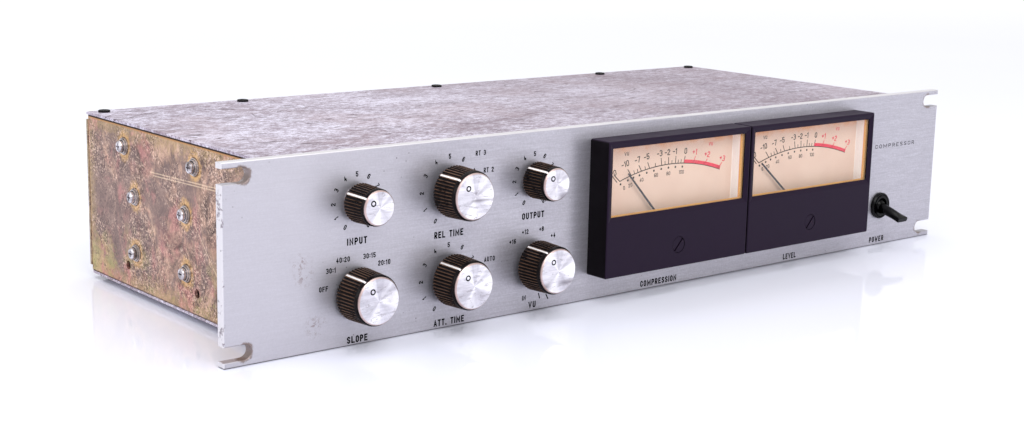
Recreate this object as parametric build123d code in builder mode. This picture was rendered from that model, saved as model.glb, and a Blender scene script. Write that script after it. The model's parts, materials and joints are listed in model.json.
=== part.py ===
from build123d import *
from math import cos, radians, sin
import os

# A two-unit, 19 inch rack compressor in millimetres.
# X runs right along the panel, Y runs rearwards, Z is up. The origin is the middle of the panel's
# bottom edge, in the plane of its rear face, which is the face that meets the rack.

os.makedirs("parts", exist_ok=True)

# ---- driving dimensions -------------------------------------------------------------------------

PANEL_W, PANEL_H, PANEL_T = 482.6, 88.1, 4.76
SLOT_WIDTH = 6.8
SLOT_END_X = 231.4
SLOT_HEIGHTS = (5.95, 82.15)

CHASSIS_W, CHASSIS_D = 432.0, 177.8
SHEET, COVER_T, REAR_T = 1.5, 1.2, 1.6
COVER_TOP, COVER_BOTTOM = 85.7, 2.8
FLANGE = 13.0

COLUMNS = (-174.4, -123.6, -72.8)
TOP_ROW, BOTTOM_ROW = 64.85, 23.5
SHAFT_R, SHAFT_BORE_R = 3.175, 3.235
BUSHING_R, BUSHING_HOLE_R, BUSHING_LENGTH = 4.76, 4.95, 5.4

METER_X = (13.4, 115.0)
METER_Z = 47.35
METER_W, METER_H, METER_D = 101.0, 68.4, 13.4
METER_WALL, METER_FACE_T = 1.8, 1.4
WINDOW_W, WINDOW_BOTTOM, WINDOW_TOP = 94.0, 43.6, 77.9
BEVEL_W, BEVEL_DEPTH = 2.4, 0.9
STUD_DX, STUD_Z, STUD_R, STUD_HOLE_R = 43.0, (19.0, 74.0), 1.5, 1.8
NEEDLE_Z, NEEDLE_LENGTH = 30.0, 45.4
CARD_DEPTH = 5.0
ZERO_SCREW_Z = 24.6
BARREL_R, BARREL_D, BARREL_Z = 21.5, 32.0, 38.0

TOGGLE_X, TOGGLE_Z, TOGGLE_TILT = 192.0, 23.4, 17.5
TOGGLE_PIVOT_Y = -4.0
TOGGLE_BUSHING_R, TOGGLE_HOLE_R, TOGGLE_BALL_R, TOGGLE_SOCKET_R = 5.9, 6.1, 4.1, 4.6

RAIL = 10.0
RAIL_SCREWS = ((65.1, 73.8), (135.7, 73.8))
BRACKET_SCREWS = ((74.4, 50.3), (74.4, 22.4), (125.2, 50.3), (125.2, 22.4))
EMPTY_HOLES_Y, EMPTY_HOLES_Z, EMPTY_HOLE_R = (64.5, 134.35), 14.6, 2.25
REAR_EDGE_SCREWS_X = (-209.0, -129.3, 0.0, 129.3, 209.0)
REAR_EDGE_SCREWS_Y, FRONT_EDGE_SCREWS_Y = 171.5, 9.0

BOARD_Z, BOARD_T = 36.0, 1.6

# name, column, row, pointer angle clockwise from the top, gap between knob and panel, size
CONTROLS = (
    ("input", 0, TOP_ROW, -55.0, 2.4, "small"),
    ("slope", 0, BOTTOM_ROW, -36.0, 1.6, "large"),
    ("release", 1, TOP_ROW, -45.0, 3.6, "large"),
    ("attack", 1, BOTTOM_ROW, -41.0, 3.9, "large"),
    ("output", 2, TOP_ROW, -42.0, 1.6, "small"),
    ("meter_select", 2, BOTTOM_ROW, -34.0, 3.5, "large"),
)
# base radius, front radius, height with cap, cap radius, nut recess radius, number of flutes
KNOB_SIZES = {
    "small": (8.9, 8.35, 15.4, 7.8, 7.5, 38),
    "large": (12.2, 11.6, 16.0, 10.8, 9.8, 48),
}
FLUTE_R = 0.62
MARK_OUTER_R, MARK_INNER_R, MARK_DEPTH = 1.4, 0.75, 0.12
# name, meter, angle of the needle from the vertical
NEEDLES = (("compression", 0, -42.9), ("level", 1, -49.5))

HALF_W = CHASSIS_W / 2
FRONT = -PANEL_T
SIDE_TOP = COVER_TOP - COVER_T
SIDE_BOTTOM = COVER_BOTTOM + COVER_T
SIDE_REAR = CHASSIS_D - REAR_T
METER_FACE = FRONT - METER_D
CARD_Y = FRONT - CARD_DEPTH


# ---- helpers ------------------------------------------------------------------------------------

def save(piece, name):
    """Label a finished piece and write it as one STEP file."""
    piece.label = name
    export_step(piece, f"parts/{name}.step")


def facing_front(x, y, z):
    """Plane with local X to the right, local Y up and its normal towards the user."""
    return Plane(origin=(x, y, z), x_dir=(1, 0, 0), z_dir=(0, -1, 0))


def facing_rear(x, y, z):
    """Plane with its normal towards the rear."""
    return Plane(origin=(x, y, z), x_dir=(-1, 0, 0), z_dir=(0, 1, 0))


def facing_side(side, y, z):
    """Plane on the outer face of one side plate; side is -1 for left and 1 for right."""
    return Plane(origin=(side * HALF_W, y, z), x_dir=(0, side, 0), z_dir=(side, 0, 0))


def block(x, y, z, mode=Mode.ADD):
    """Box between pairs of limits along X, Y and Z, added to the open part."""
    with Locations(((x[0] + x[1]) / 2, (y[0] + y[1]) / 2, (z[0] + z[1]) / 2)):
        Box(abs(x[1] - x[0]), abs(y[1] - y[0]), abs(z[1] - z[0]), mode=mode)


def machine_screw(head_r, head_h, shank_r, length, cross=True):
    """Pan-head screw along Z, its head above the plane Z = 0; a cross or a straight slot."""
    with BuildPart() as screw:
        Cylinder(shank_r, length, align=(Align.CENTER, Align.CENTER, Align.MAX))
        Cylinder(head_r, head_h, align=(Align.CENTER, Align.CENTER, Align.MIN))
        fillet(screw.edges().sort_by(Axis.Z)[-1], head_h * 0.45)
        with Locations((0, 0, head_h)):
            Box(head_r * 1.15, head_r * 0.26, head_h * 1.1, mode=Mode.SUBTRACT)
            if cross:
                Box(head_r * 0.26, head_r * 1.15, head_h * 1.1, mode=Mode.SUBTRACT)
    return screw.part


def hex_nut(across_flats, thickness, bore_r):
    """Hexagon nut standing on Z = 0, with chamfered corners."""
    with BuildPart() as nut:
        with BuildSketch():
            RegularPolygon(across_flats / 2, 6, major_radius=False)
            Circle(bore_r, mode=Mode.SUBTRACT)
        extrude(amount=thickness)
        with BuildSketch():
            Circle(across_flats * 0.56)
        extrude(amount=thickness, mode=Mode.INTERSECT)
    return nut.part


def ring(outer_r, inner_r, thickness):
    """Flat washer standing on Z = 0."""
    with BuildPart() as washer:
        with BuildSketch():
            Circle(outer_r)
            Circle(inner_r, mode=Mode.SUBTRACT)
        extrude(amount=thickness)
    return washer.part


def repeat(piece, planes):
    """One part holding a copy of the piece on every plane."""
    with BuildPart() as group:
        with Locations(*planes):
            add(piece)
    return group.part


# ---- front panel --------------------------------------------------------------------------------

METER_STUDS = [(x + dx, z) for x in METER_X for dx in (-STUD_DX, STUD_DX) for z in STUD_Z]
FLANGE_SCREWS_Z = (24.0, 64.0)
FLANGE_SCREWS_X = HALF_W - FLANGE / 2 - 0.5
FLANGE_POINTS = [(side * FLANGE_SCREWS_X, z) for side in (-1, 1) for z in FLANGE_SCREWS_Z]
SCREW_R, SCREW_HOLE_R = 1.75, 1.95
TAPPED_DEPTH = 3.4

with BuildPart() as front_panel:
    with BuildSketch(facing_front(0, 0, 0)):
        with Locations((0, PANEL_H / 2)):
            Rectangle(PANEL_W, PANEL_H)
        for side in (-1, 1):
            for height in SLOT_HEIGHTS:
                with Locations((side * SLOT_END_X, height)):
                    Circle(SLOT_WIDTH / 2, mode=Mode.SUBTRACT)
                with Locations((side * (SLOT_END_X + SLOT_WIDTH), height)):
                    Rectangle(2 * SLOT_WIDTH, SLOT_WIDTH, mode=Mode.SUBTRACT)
    extrude(amount=PANEL_T)
    chamfer(front_panel.faces().sort_by(Axis.Y)[0].edges(), 0.35)
    with Locations(*[facing_front(COLUMNS[c[1]], FRONT, c[2]) for c in CONTROLS]):
        Hole(BUSHING_HOLE_R)
    with Locations(facing_front(TOGGLE_X, FRONT, TOGGLE_Z)):
        Hole(TOGGLE_HOLE_R)
    with Locations(*[facing_front(x, FRONT, BARREL_Z) for x in METER_X]):
        Hole(BARREL_R + 0.5)
    with Locations(*[facing_front(x, FRONT, z) for x, z in METER_STUDS]):
        Hole(STUD_HOLE_R)
    with Locations(*[facing_rear(x, 0, z) for x, z in FLANGE_POINTS]):
        Hole(SCREW_HOLE_R, depth=TAPPED_DEPTH)
save(front_panel.part, "front_panel")

# ---- chassis ------------------------------------------------------------------------------------


def side_plate(side):
    """Folded side plate: a flat web with inward flanges on its four edges and open corners."""
    web, inner = side * HALF_W, side * (HALF_W - FLANGE)
    relief = 3.0
    with BuildPart() as plate:
        block((web, inner), (0, SIDE_REAR), (SIDE_BOTTOM, SIDE_TOP))
        outer_face = plate.faces().sort_by(Axis.X)[0 if side < 0 else -1]
        fillet(outer_face.edges(), 1.2)
        block(
            (side * (HALF_W - SHEET), inner),
            (SHEET, SIDE_REAR - SHEET),
            (SIDE_BOTTOM + SHEET, SIDE_TOP - SHEET),
            Mode.SUBTRACT,
        )
        for y in (0, SIDE_REAR):
            for z in (SIDE_BOTTOM, SIDE_TOP):
                block(
                    (side * (HALF_W - 2.4), inner),
                    (y - relief, y + relief),
                    (z - relief, z + relief),
                    Mode.SUBTRACT,
                )
        with Locations(*[facing_side(side, y, z) for y, z in RAIL_SCREWS + BRACKET_SCREWS]):
            Hole(SCREW_HOLE_R, depth=4)
        with Locations(*[facing_side(side, y, EMPTY_HOLES_Z) for y in EMPTY_HOLES_Y]):
            Hole(EMPTY_HOLE_R, depth=4)
        with Locations(*[facing_rear(side * FLANGE_SCREWS_X, SIDE_REAR, z) for z in FLANGE_SCREWS_Z]):
            Hole(SCREW_HOLE_R)
        with Locations((side * REAR_EDGE_SCREWS_X[-1], REAR_EDGE_SCREWS_Y, SIDE_TOP)):
            Hole(SCREW_HOLE_R)
        with Locations((side * REAR_EDGE_SCREWS_X[-1], FRONT_EDGE_SCREWS_Y, SIDE_BOTTOM + SHEET)):
            Hole(SCREW_HOLE_R, depth=4)
    return plate.part


save(side_plate(-1), "left_side_plate")
save(side_plate(1), "right_side_plate")

# The rear panel is a shallow pan; its top and bottom flanges reach forward between the side plates.
INLET_X, INLET_Z = 96.0, 44.0
FUSE_X, FUSE_Z = 50.0, 44.0
STRIP_X, STRIP_Z, STRIP_W = -96.0, 44.0, 112.0
STRIP_SCREWS = [(STRIP_X + side * (STRIP_W / 2 - 5.0), STRIP_Z) for side in (-1, 1)]
INLET_SCREWS = [(INLET_X + side * 20.0, INLET_Z) for side in (-1, 1)]
SMALL_HOLE_R = 1.7

with BuildPart() as rear_panel:
    flange_x = HALF_W - FLANGE - 1.0
    block((-HALF_W, HALF_W), (SIDE_REAR, CHASSIS_D), (SIDE_BOTTOM + 0.6, SIDE_TOP - 0.6))
    for side in (-1, 1):
        for z in (SIDE_BOTTOM, SIDE_TOP):
            block((side * (HALF_W - 3.0), side * HALF_W), (170, 180), (z - 2.6, z + 2.6), Mode.SUBTRACT)
    for z0, z1 in ((SIDE_BOTTOM, SIDE_BOTTOM + SHEET), (SIDE_TOP - SHEET, SIDE_TOP)):
        block((-flange_x, flange_x), (165, CHASSIS_D), (z0, z1))
    flanges = rear_panel.edges().filter_by(Axis.X).group_by(Axis.Y)[-1]
    fillet(flanges.filter_by(lambda e: e.length > 2 * flange_x - 1), 0.5)
    block((INLET_X - 14.0, INLET_X + 14.0), (170, 180), (INLET_Z - 10.3, INLET_Z + 10.3), Mode.SUBTRACT)
    with Locations(facing_rear(FUSE_X, CHASSIS_D, FUSE_Z)):
        Hole(6.5, depth=5)
    with Locations(*[facing_rear(x, CHASSIS_D, z) for x, z in STRIP_SCREWS + INLET_SCREWS]):
        Hole(SMALL_HOLE_R, depth=5)
    with Locations(*[facing_rear(x, CHASSIS_D, z) for x, z in FLANGE_POINTS]):
        Hole(SCREW_HOLE_R, depth=5)
    with Locations(*[(x, REAR_EDGE_SCREWS_Y, SIDE_TOP) for x in REAR_EDGE_SCREWS_X[1:-1]]):
        Hole(SCREW_HOLE_R)
save(rear_panel.part, "rear_panel")

FRONT_EDGE_SCREWS = [(side * REAR_EDGE_SCREWS_X[-1], FRONT_EDGE_SCREWS_Y) for side in (-1, 1)]
REAR_EDGE_SCREWS = [(x, REAR_EDGE_SCREWS_Y) for x in REAR_EDGE_SCREWS_X]


def cover(z_outer, inwards, lip, corner_r, screws):
    """Flat cover sheet with a short front lip; inwards is -1 on the top cover and 1 below."""
    z_inner = z_outer + inwards * COVER_T
    lip_x = HALF_W - FLANGE - 3.0
    with BuildPart() as sheet:
        block((-HALF_W, HALF_W), (0.3, CHASSIS_D), (z_outer, z_inner))
        block((-lip_x, lip_x), (0.3, 0.3 + COVER_T), (z_outer, z_inner + inwards * lip))
        with Locations(*[Plane(origin=(x, y, z_outer), z_dir=(0, 0, -inwards)) for x, y in screws]):
            Hole(SCREW_HOLE_R)
        corners = sheet.edges().filter_by(Axis.Z).filter_by(lambda e: abs(e.center().X) > HALF_W - 1)
        fillet(corners, corner_r)
    return sheet.part


save(cover(COVER_TOP, -1, 5.6, 0.8, REAR_EDGE_SCREWS), "top_cover")
save(cover(COVER_BOTTOM, 1, 3.0, 4.0, REAR_EDGE_SCREWS + FRONT_EDGE_SCREWS), "bottom_cover")

with BuildPart() as cross_rails:
    for y, z in RAIL_SCREWS:
        rail_half = HALF_W - SHEET
        block((-rail_half, rail_half), (y - RAIL / 2, y + RAIL / 2), (z - RAIL / 2, z + RAIL / 2))
        with Locations(*[Plane(origin=(s * rail_half, y, z), z_dir=(s, 0, 0)) for s in (-1, 1)]):
            Hole(SCREW_R + 0.1, depth=14)
save(cross_rails.part, "cross_rails")

BRACKET_T = 3.0
BRACKET_Y = (69.0, 137.5)
BOARD_SCREWS = [(s * 207.0, y) for s in (-1, 1) for y in (78.0, 128.0)]

with BuildPart() as board_brackets:
    for side in (-1, 1):
        outer = side * (HALF_W - SHEET)
        block((outer, outer - side * BRACKET_T), BRACKET_Y, (18.0, 55.0))
        block((outer, outer - side * 14.0), BRACKET_Y, (BOARD_Z - BRACKET_T, BOARD_Z))
        with Locations(*[facing_side(side, y, z) for y, z in BRACKET_SCREWS]):
            Hole(SCREW_R + 0.1, depth=SHEET + BRACKET_T + 1)
    with Locations(*[(x, y, BOARD_Z) for x, y in BOARD_SCREWS]):
        Hole(1.35, depth=5)
save(board_brackets.part, "board_brackets")

# ---- chassis fasteners --------------------------------------------------------------------------

WASHER_T, LOCK_T = 0.7, 0.8
WASHER_STACK = WASHER_T + LOCK_T
side_screw_planes = [facing_side(s, y, z) for s in (-1, 1) for y, z in RAIL_SCREWS + BRACKET_SCREWS]

side_screw = machine_screw(2.85, 1.9, SCREW_R, 8.0)
save(repeat(side_screw, [p.offset(WASHER_STACK) for p in side_screw_planes]), "side_screws")

flat_washer = ring(4.1, SCREW_R + 0.15, WASHER_T)
save(repeat(flat_washer, side_screw_planes), "side_flat_washers")
lock_washer = ring(3.55, SCREW_R + 0.15, LOCK_T)
save(repeat(lock_washer, [p.offset(WASHER_T) for p in side_screw_planes]), "side_lock_washers")

top_planes = [Plane(origin=(x, y, COVER_TOP)) for x, y in REAR_EDGE_SCREWS]
bottom_planes = [
    Plane(origin=(x, y, COVER_BOTTOM), z_dir=(0, 0, -1)) for x, y in REAR_EDGE_SCREWS + FRONT_EDGE_SCREWS
]
cover_screw = machine_screw(3.0, 1.1, SCREW_R, 5.0)
save(repeat(cover_screw, top_planes + bottom_planes), "cover_screws")

flange_planes = [facing_rear(x, y, z) for y in (SHEET, CHASSIS_D) for x, z in FLANGE_POINTS]
flange_screw = machine_screw(3.2, 2.2, SCREW_R, 4.6)
save(repeat(flange_screw, flange_planes), "flange_screws")

# ---- knobs, caps and shafts ---------------------------------------------------------------------

KNOB_BORE_DEPTH = 12.6
SHAFT_TAIL_Y = 6.0


def knob_body(size):
    """Fluted, slightly tapered knob along Z, pointer line towards X, with a smooth strip under it."""
    base_r, front_r, height, cap_r, recess_r, flutes = KNOB_SIZES[size]
    rim = height - 1.1
    with BuildPart() as body:
        with BuildSketch(Plane.XZ):
            with BuildLine():
                Polyline(
                    (0, 0),
                    (base_r - 0.5, 0),
                    (base_r, 0.5),
                    (front_r, rim - 0.9),
                    (front_r - 0.5, rim),
                    (0, rim),
                    close=True,
                )
            make_face()
        revolve(axis=Axis.Z)
        lean = Vector(front_r - base_r, 0, rim)
        for k in range(1, flutes):
            turn = radians(360 * k / flutes)
            start = Vector(base_r * cos(turn), base_r * sin(turn), -0.2)
            along = Vector(lean.X * cos(turn), lean.X * sin(turn), lean.Z)
            with BuildSketch(Plane(origin=start, z_dir=along)):
                Circle(FLUTE_R)
            extrude(amount=rim - 1.2, mode=Mode.SUBTRACT)
        with Locations((0, 0, 0)):
            Cylinder(recess_r, 7.0, align=(Align.CENTER, Align.CENTER, Align.MIN), mode=Mode.SUBTRACT)
            Cylinder(
                SHAFT_R + 0.015,
                KNOB_BORE_DEPTH,
                align=(Align.CENTER, Align.CENTER, Align.MIN),
                mode=Mode.SUBTRACT,
            )
        with Locations((0, 0, rim)):
            Cylinder(cap_r + 0.05, 0.6, align=(Align.CENTER, Align.CENTER, Align.MAX), mode=Mode.SUBTRACT)
    return body.part


def knob_cap(size):
    """Spun aluminium disc let into the front of the knob, with a bevelled edge."""
    cap_r, height = KNOB_SIZES[size][3], KNOB_SIZES[size][2]
    with BuildPart() as cap:
        with BuildSketch(Plane.XY.offset(height - 1.7)):
            Circle(cap_r)
        extrude(amount=1.7)
        chamfer(cap.edges().sort_by(Axis.Z)[-1], 0.55)
        with BuildSketch(Plane.XY.offset(height)):
            with Locations((cap_r * 0.53, 0)):
                Circle(MARK_OUTER_R)
                Circle(MARK_INNER_R, mode=Mode.SUBTRACT)
        extrude(amount=-MARK_DEPTH, mode=Mode.SUBTRACT)
    return cap.part


bodies = {size: knob_body(size) for size in KNOB_SIZES}
caps = {size: knob_cap(size) for size in KNOB_SIZES}

for name, column, row, angle, gap, size in CONTROLS:
    seat = Plane(
        origin=(COLUMNS[column], FRONT - gap, row),
        x_dir=(sin(radians(angle)), 0, cos(radians(angle))),
        z_dir=(0, -1, 0),
    )
    with BuildPart(seat) as knob:
        add(bodies[size])
    save(knob.part, f"{name}_knob")
    with BuildPart(seat) as cap:
        add(caps[size])
    save(cap.part, f"{name}_knob_cap")
    with BuildPart() as shaft:
        with BuildSketch(facing_front(COLUMNS[column], FRONT - gap - KNOB_BORE_DEPTH + 0.4, row)):
            Circle(SHAFT_R)
        extrude(amount=-(PANEL_T + gap + KNOB_BORE_DEPTH - 0.4 + SHAFT_TAIL_Y))
        chamfer(shaft.edges().sort_by(Axis.Y)[0], 0.4)
    save(shaft.part, f"{name}_shaft")

# ---- potentiometers, rotary switches and their hardware -----------------------------------------


def control_body(body_r, depth, lugs, lug_r, decks):
    """Panel control along -Z behind Z = 0: threaded bushing, round body or wafer stack, solder lugs."""
    with BuildPart() as control:
        with BuildSketch():
            Circle(BUSHING_R)
        extrude(amount=PANEL_T + BUSHING_LENGTH)
        chamfer(control.edges().sort_by(Axis.Z)[-1], 0.5)
        if decks:
            with BuildSketch():
                Circle(body_r * 0.82)
            extrude(amount=-8.0)
            with BuildSketch(Plane.XY.offset(-8.0)):
                Circle(5.0)
                with Locations((body_r * 0.7, 0), (-body_r * 0.7, 0)):
                    Circle(1.6)
            extrude(amount=-(depth - 8.0))
            for deck in range(decks):
                with BuildSketch(Plane.XY.offset(-13.0 - deck * 9.0)):
                    Circle(body_r)
                extrude(amount=-1.8)
        else:
            with BuildSketch():
                Circle(body_r)
            extrude(amount=-depth)
            fillet(control.edges().filter_by(GeomType.CIRCLE).sort_by(Axis.Z)[0], 1.0)
        for k in range(lugs):
            turn = radians(-90 + (k - (lugs - 1) / 2) * 26)
            with BuildSketch(Plane(origin=(0, 0, -3.5), x_dir=(cos(turn), sin(turn), 0), z_dir=(0, 0, 1))):
                with Locations(((body_r + lug_r) / 2 - 1.5, 0)):
                    Rectangle(lug_r - body_r + 3.0, 1.8)
            extrude(amount=-0.8)
        with Locations((0, 0, PANEL_T + BUSHING_LENGTH)):
            Cylinder(
                SHAFT_BORE_R,
                PANEL_T + BUSHING_LENGTH + SHAFT_TAIL_Y + 0.6,
                align=(Align.CENTER, Align.CENTER, Align.MAX),
                mode=Mode.SUBTRACT,
            )
    return control.part


SWITCHES = ("slope", "meter_select")
control_planes = {c[0]: facing_front(COLUMNS[c[1]], 0, c[2]) for c in CONTROLS}
pot_planes = [plane for name, plane in control_planes.items() if name not in SWITCHES]
switch_planes = [control_planes[name] for name in SWITCHES]
save(repeat(control_body(11.6, 13.0, 3, 16.0, 0), pot_planes), "potentiometers")
save(repeat(control_body(15.0, 36.0, 0, 0, 3), switch_planes), "rotary_switches")

CONTROL_WASHER_T, CONTROL_NUT_T = 0.7, 2.3
nut_planes = [p.offset(PANEL_T + CONTROL_WASHER_T) for p in control_planes.values()]
save(repeat(hex_nut(12.0, CONTROL_NUT_T, BUSHING_R + 0.02), nut_planes), "control_nuts")
washer_planes = [p.offset(PANEL_T) for p in control_planes.values()]
save(repeat(ring(6.9, BUSHING_R + 0.1, CONTROL_WASHER_T), washer_planes), "control_washers")

# ---- meters -------------------------------------------------------------------------------------

BASE_T = 2.0
SIDE_GAP = 0.25
HUB_R = 2.6
PIVOT_R = 0.9
NEEDLE_Y = CARD_Y - 1.7
WINDOW_MID = (WINDOW_BOTTOM + WINDOW_TOP) / 2
WINDOW_H = WINDOW_TOP - WINDOW_BOTTOM
ZERO_HEAD_R, ZERO_HEAD_T, ZERO_JOURNAL_R = 4.0, 1.3, 1.5
MOVEMENT_R, MOVEMENT_D = 10.0, 19.0


def meter_housing(x):
    """Base plate on the panel, corner studs, card posts and the round barrel through the panel."""
    inner_w = METER_W / 2 - METER_WALL - SIDE_GAP
    inner_h = METER_H / 2 - METER_WALL - SIDE_GAP
    with BuildPart() as housing:
        block((x - inner_w, x + inner_w), (FRONT - BASE_T, FRONT), (METER_Z - inner_h, METER_Z + inner_h))
        with BuildSketch(facing_front(x, FRONT, BARREL_Z)):
            Circle(BARREL_R)
        extrude(amount=-(PANEL_T + BARREL_D))
        fillet(housing.edges().sort_by(Axis.Y)[-1], 1.5)
        with BuildSketch(facing_front(x, FRONT - BASE_T, BARREL_Z)):
            Circle(BARREL_R - 1.8)
        extrude(amount=-(BASE_T + PANEL_T + BARREL_D - 2.0), mode=Mode.SUBTRACT)
        for dx in (-STUD_DX, STUD_DX):
            for z in STUD_Z:
                with BuildSketch(facing_front(x + dx, FRONT, z)):
                    Circle(STUD_R)
                extrude(amount=-(PANEL_T + 7.0))
        for dx in (-38.0, 38.0):
            with BuildSketch(facing_front(x + dx, FRONT - BASE_T, 36.0)):
                Circle(3.0)
            extrude(amount=CARD_DEPTH - BASE_T - 0.8)
        for dx in (-9.0, 9.0):
            with BuildSketch(facing_rear(x + dx, BARREL_D, BARREL_Z)):
                Circle(2.2)
            extrude(amount=6.0)
    return housing.part


def meter_cover(x):
    """Moulded front cover: five walls, a bevelled window above and a screw boss below."""
    with BuildPart() as shell:
        block(
            (x - METER_W / 2, x + METER_W / 2),
            (METER_FACE, FRONT),
            (METER_Z - METER_H / 2, METER_Z + METER_H / 2),
        )
        fillet(shell.edges().filter_by(Axis.Y), 1.0)
        fillet(shell.faces().sort_by(Axis.Y)[0].edges(), 0.8)
        block(
            (x - METER_W / 2 + METER_WALL, x + METER_W / 2 - METER_WALL),
            (METER_FACE + METER_FACE_T, FRONT),
            (METER_Z - METER_H / 2 + METER_WALL, METER_Z + METER_H / 2 - METER_WALL),
            Mode.SUBTRACT,
        )
        with BuildSketch(facing_front(x, METER_FACE, WINDOW_MID)):
            Rectangle(WINDOW_W, WINDOW_H)
        extrude(amount=-METER_FACE_T, mode=Mode.SUBTRACT)
        with BuildSketch(facing_front(x, METER_FACE, WINDOW_MID)):
            Rectangle(WINDOW_W + 2 * BEVEL_W, WINDOW_H + 2 * BEVEL_W)
        with BuildSketch(facing_front(x, METER_FACE + BEVEL_DEPTH, WINDOW_MID)):
            Rectangle(WINDOW_W, WINDOW_H)
        loft(mode=Mode.SUBTRACT)
        with BuildSketch(facing_front(x, METER_FACE + METER_FACE_T, ZERO_SCREW_Z)):
            Circle(6.0)
        extrude(amount=-1.4)
        with BuildSketch(facing_front(x, METER_FACE, ZERO_SCREW_Z)):
            Circle(ZERO_HEAD_R + 0.3)
        extrude(amount=-(ZERO_HEAD_T + 0.4), mode=Mode.SUBTRACT)
        with BuildSketch(facing_front(x, METER_FACE, ZERO_SCREW_Z)):
            Circle(ZERO_JOURNAL_R + 0.06)
        extrude(amount=-(METER_FACE_T + 2.0), mode=Mode.SUBTRACT)
    return shell.part


def zero_screw(x):
    """Slotted zero adjuster: head, journal in the cover and an off-centre pin behind it."""
    turn = radians(48)
    with BuildPart() as screw:
        with BuildSketch(facing_front(x, METER_FACE + ZERO_HEAD_T, ZERO_SCREW_Z)):
            Circle(ZERO_HEAD_R)
        extrude(amount=ZERO_HEAD_T - 0.15)
        with BuildSketch(facing_front(x, METER_FACE + ZERO_HEAD_T, ZERO_SCREW_Z)):
            Circle(ZERO_JOURNAL_R)
        extrude(amount=-3.6)
        with BuildSketch(facing_front(x, METER_FACE + ZERO_HEAD_T, ZERO_SCREW_Z)):
            with Locations((0, ZERO_JOURNAL_R * 0.6)):
                Circle(0.4)
        extrude(amount=-4.3)
        slot_plane = Plane(
            origin=(x, METER_FACE, ZERO_SCREW_Z),
            x_dir=(cos(turn), 0, sin(turn)),
            z_dir=(0, -1, 0),
        )
        with BuildSketch(slot_plane):
            Rectangle(ZERO_HEAD_R * 2.4, 0.9)
        extrude(amount=-0.9, mode=Mode.SUBTRACT)
    return screw.part


def needle(x, angle):
    """Flat tapered pointer with a round hub, a balancing tail and a pivot reaching into the movement."""
    pointer_plane = Plane(
        origin=(x, NEEDLE_Y, NEEDLE_Z),
        x_dir=(sin(radians(angle)), 0, cos(radians(angle))),
        z_dir=(0, -1, 0),
    )
    with BuildPart() as pointer:
        with BuildSketch(pointer_plane):
            with BuildLine():
                Polyline((-9, -0.9), (0, -0.6), (NEEDLE_LENGTH, -0.42), (NEEDLE_LENGTH, 0.42),
                         (0, 0.6), (-9, 0.9), close=True)
            make_face()
            Circle(HUB_R)
        extrude(amount=0.35)
        with BuildSketch(facing_front(x, NEEDLE_Y, NEEDLE_Z)):
            Circle(PIVOT_R)
        extrude(amount=-(FRONT - NEEDLE_Y + 8.0))
    return pointer.part


for index, x in enumerate(METER_X):
    name = NEEDLES[index][0]
    save(meter_housing(x), f"{name}_meter_housing")
    save(meter_cover(x), f"{name}_meter_cover")
    save(zero_screw(x), f"{name}_zero_screw")
    save(needle(x, NEEDLES[index][2]), f"{name}_needle")

with BuildPart() as meter_lenses:
    for x in METER_X:
        y = METER_FACE + METER_FACE_T
        block(
            (x - METER_W / 2 + 2.1, x + METER_W / 2 - 2.1),
            (y, y + 1.2),
            (WINDOW_BOTTOM - 2.0, METER_Z + METER_H / 2 - 2.1),
        )
save(meter_lenses.part, "meter_lenses")

with BuildPart() as scale_cards:
    half, top, bottom, depth, wall = 46.4, 79.0, 33.0, 5.6, 0.8
    for x in METER_X:
        block((x - half, x + half), (CARD_Y - depth, CARD_Y + wall), (bottom, top))
        block(
            (x - half + wall, x + half - wall),
            (CARD_Y - depth, CARD_Y),
            (bottom - 1, top - wall),
            Mode.SUBTRACT,
        )
        block((x - 6.0, x + 6.0), (CARD_Y - 1, CARD_Y + 1), (bottom - 1, bottom + 2.0), Mode.SUBTRACT)
save(scale_cards.part, "meter_scale_cards")

with BuildPart() as movements:
    for x in METER_X:
        with BuildSketch(facing_front(x, FRONT + 4.0, NEEDLE_Z)):
            Circle(MOVEMENT_R)
        extrude(amount=-MOVEMENT_D)
        block((x - 4.0, x + 4.0), (FRONT + 1.0, FRONT + 5.0), (NEEDLE_Z - 9.0, NEEDLE_Z + 9.0))
        with BuildSketch(facing_front(x, FRONT, NEEDLE_Z)):
            Circle(PIVOT_R + 0.06)
        extrude(amount=-9.0, mode=Mode.SUBTRACT)
        tail_y = FRONT + 4.0 + MOVEMENT_D
        block((x - 3.0, x + 3.0), (tail_y, BARREL_D - 2.0), (NEEDLE_Z - 3.0, NEEDLE_Z + 3.0))
save(movements.part, "meter_movements")

stud_planes = [facing_rear(x, 0, z) for x, z in METER_STUDS]
save(repeat(hex_nut(5.5, 2.4, STUD_R + 0.02), stud_planes), "meter_nuts")

# ---- power switch -------------------------------------------------------------------------------

with BuildPart() as toggle_switch_body:
    with BuildSketch(facing_front(TOGGLE_X, 0, TOGGLE_Z)):
        Rectangle(13.0, 26.0)
    extrude(amount=-20.0)
    fillet(toggle_switch_body.edges().filter_by(Axis.Y), 1.0)
    with BuildSketch(facing_front(TOGGLE_X, 0, TOGGLE_Z)):
        Circle(TOGGLE_BUSHING_R)
    extrude(amount=PANEL_T + 2.2)
    for drop in (-8.0, 0.0, 8.0):
        block(
            (TOGGLE_X - 2.4, TOGGLE_X + 2.4),
            (19.0, 27.0),
            (TOGGLE_Z + drop - 0.4, TOGGLE_Z + drop + 0.4),
        )
    with Locations(Plane(origin=(TOGGLE_X, TOGGLE_PIVOT_Y, TOGGLE_Z))):
        Sphere(TOGGLE_SOCKET_R, mode=Mode.SUBTRACT)
    with BuildSketch(facing_front(TOGGLE_X, TOGGLE_PIVOT_Y, TOGGLE_Z)):
        Circle(TOGGLE_SOCKET_R)
    extrude(amount=8.0, mode=Mode.SUBTRACT)
save(toggle_switch_body.part, "toggle_switch_body")

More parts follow.
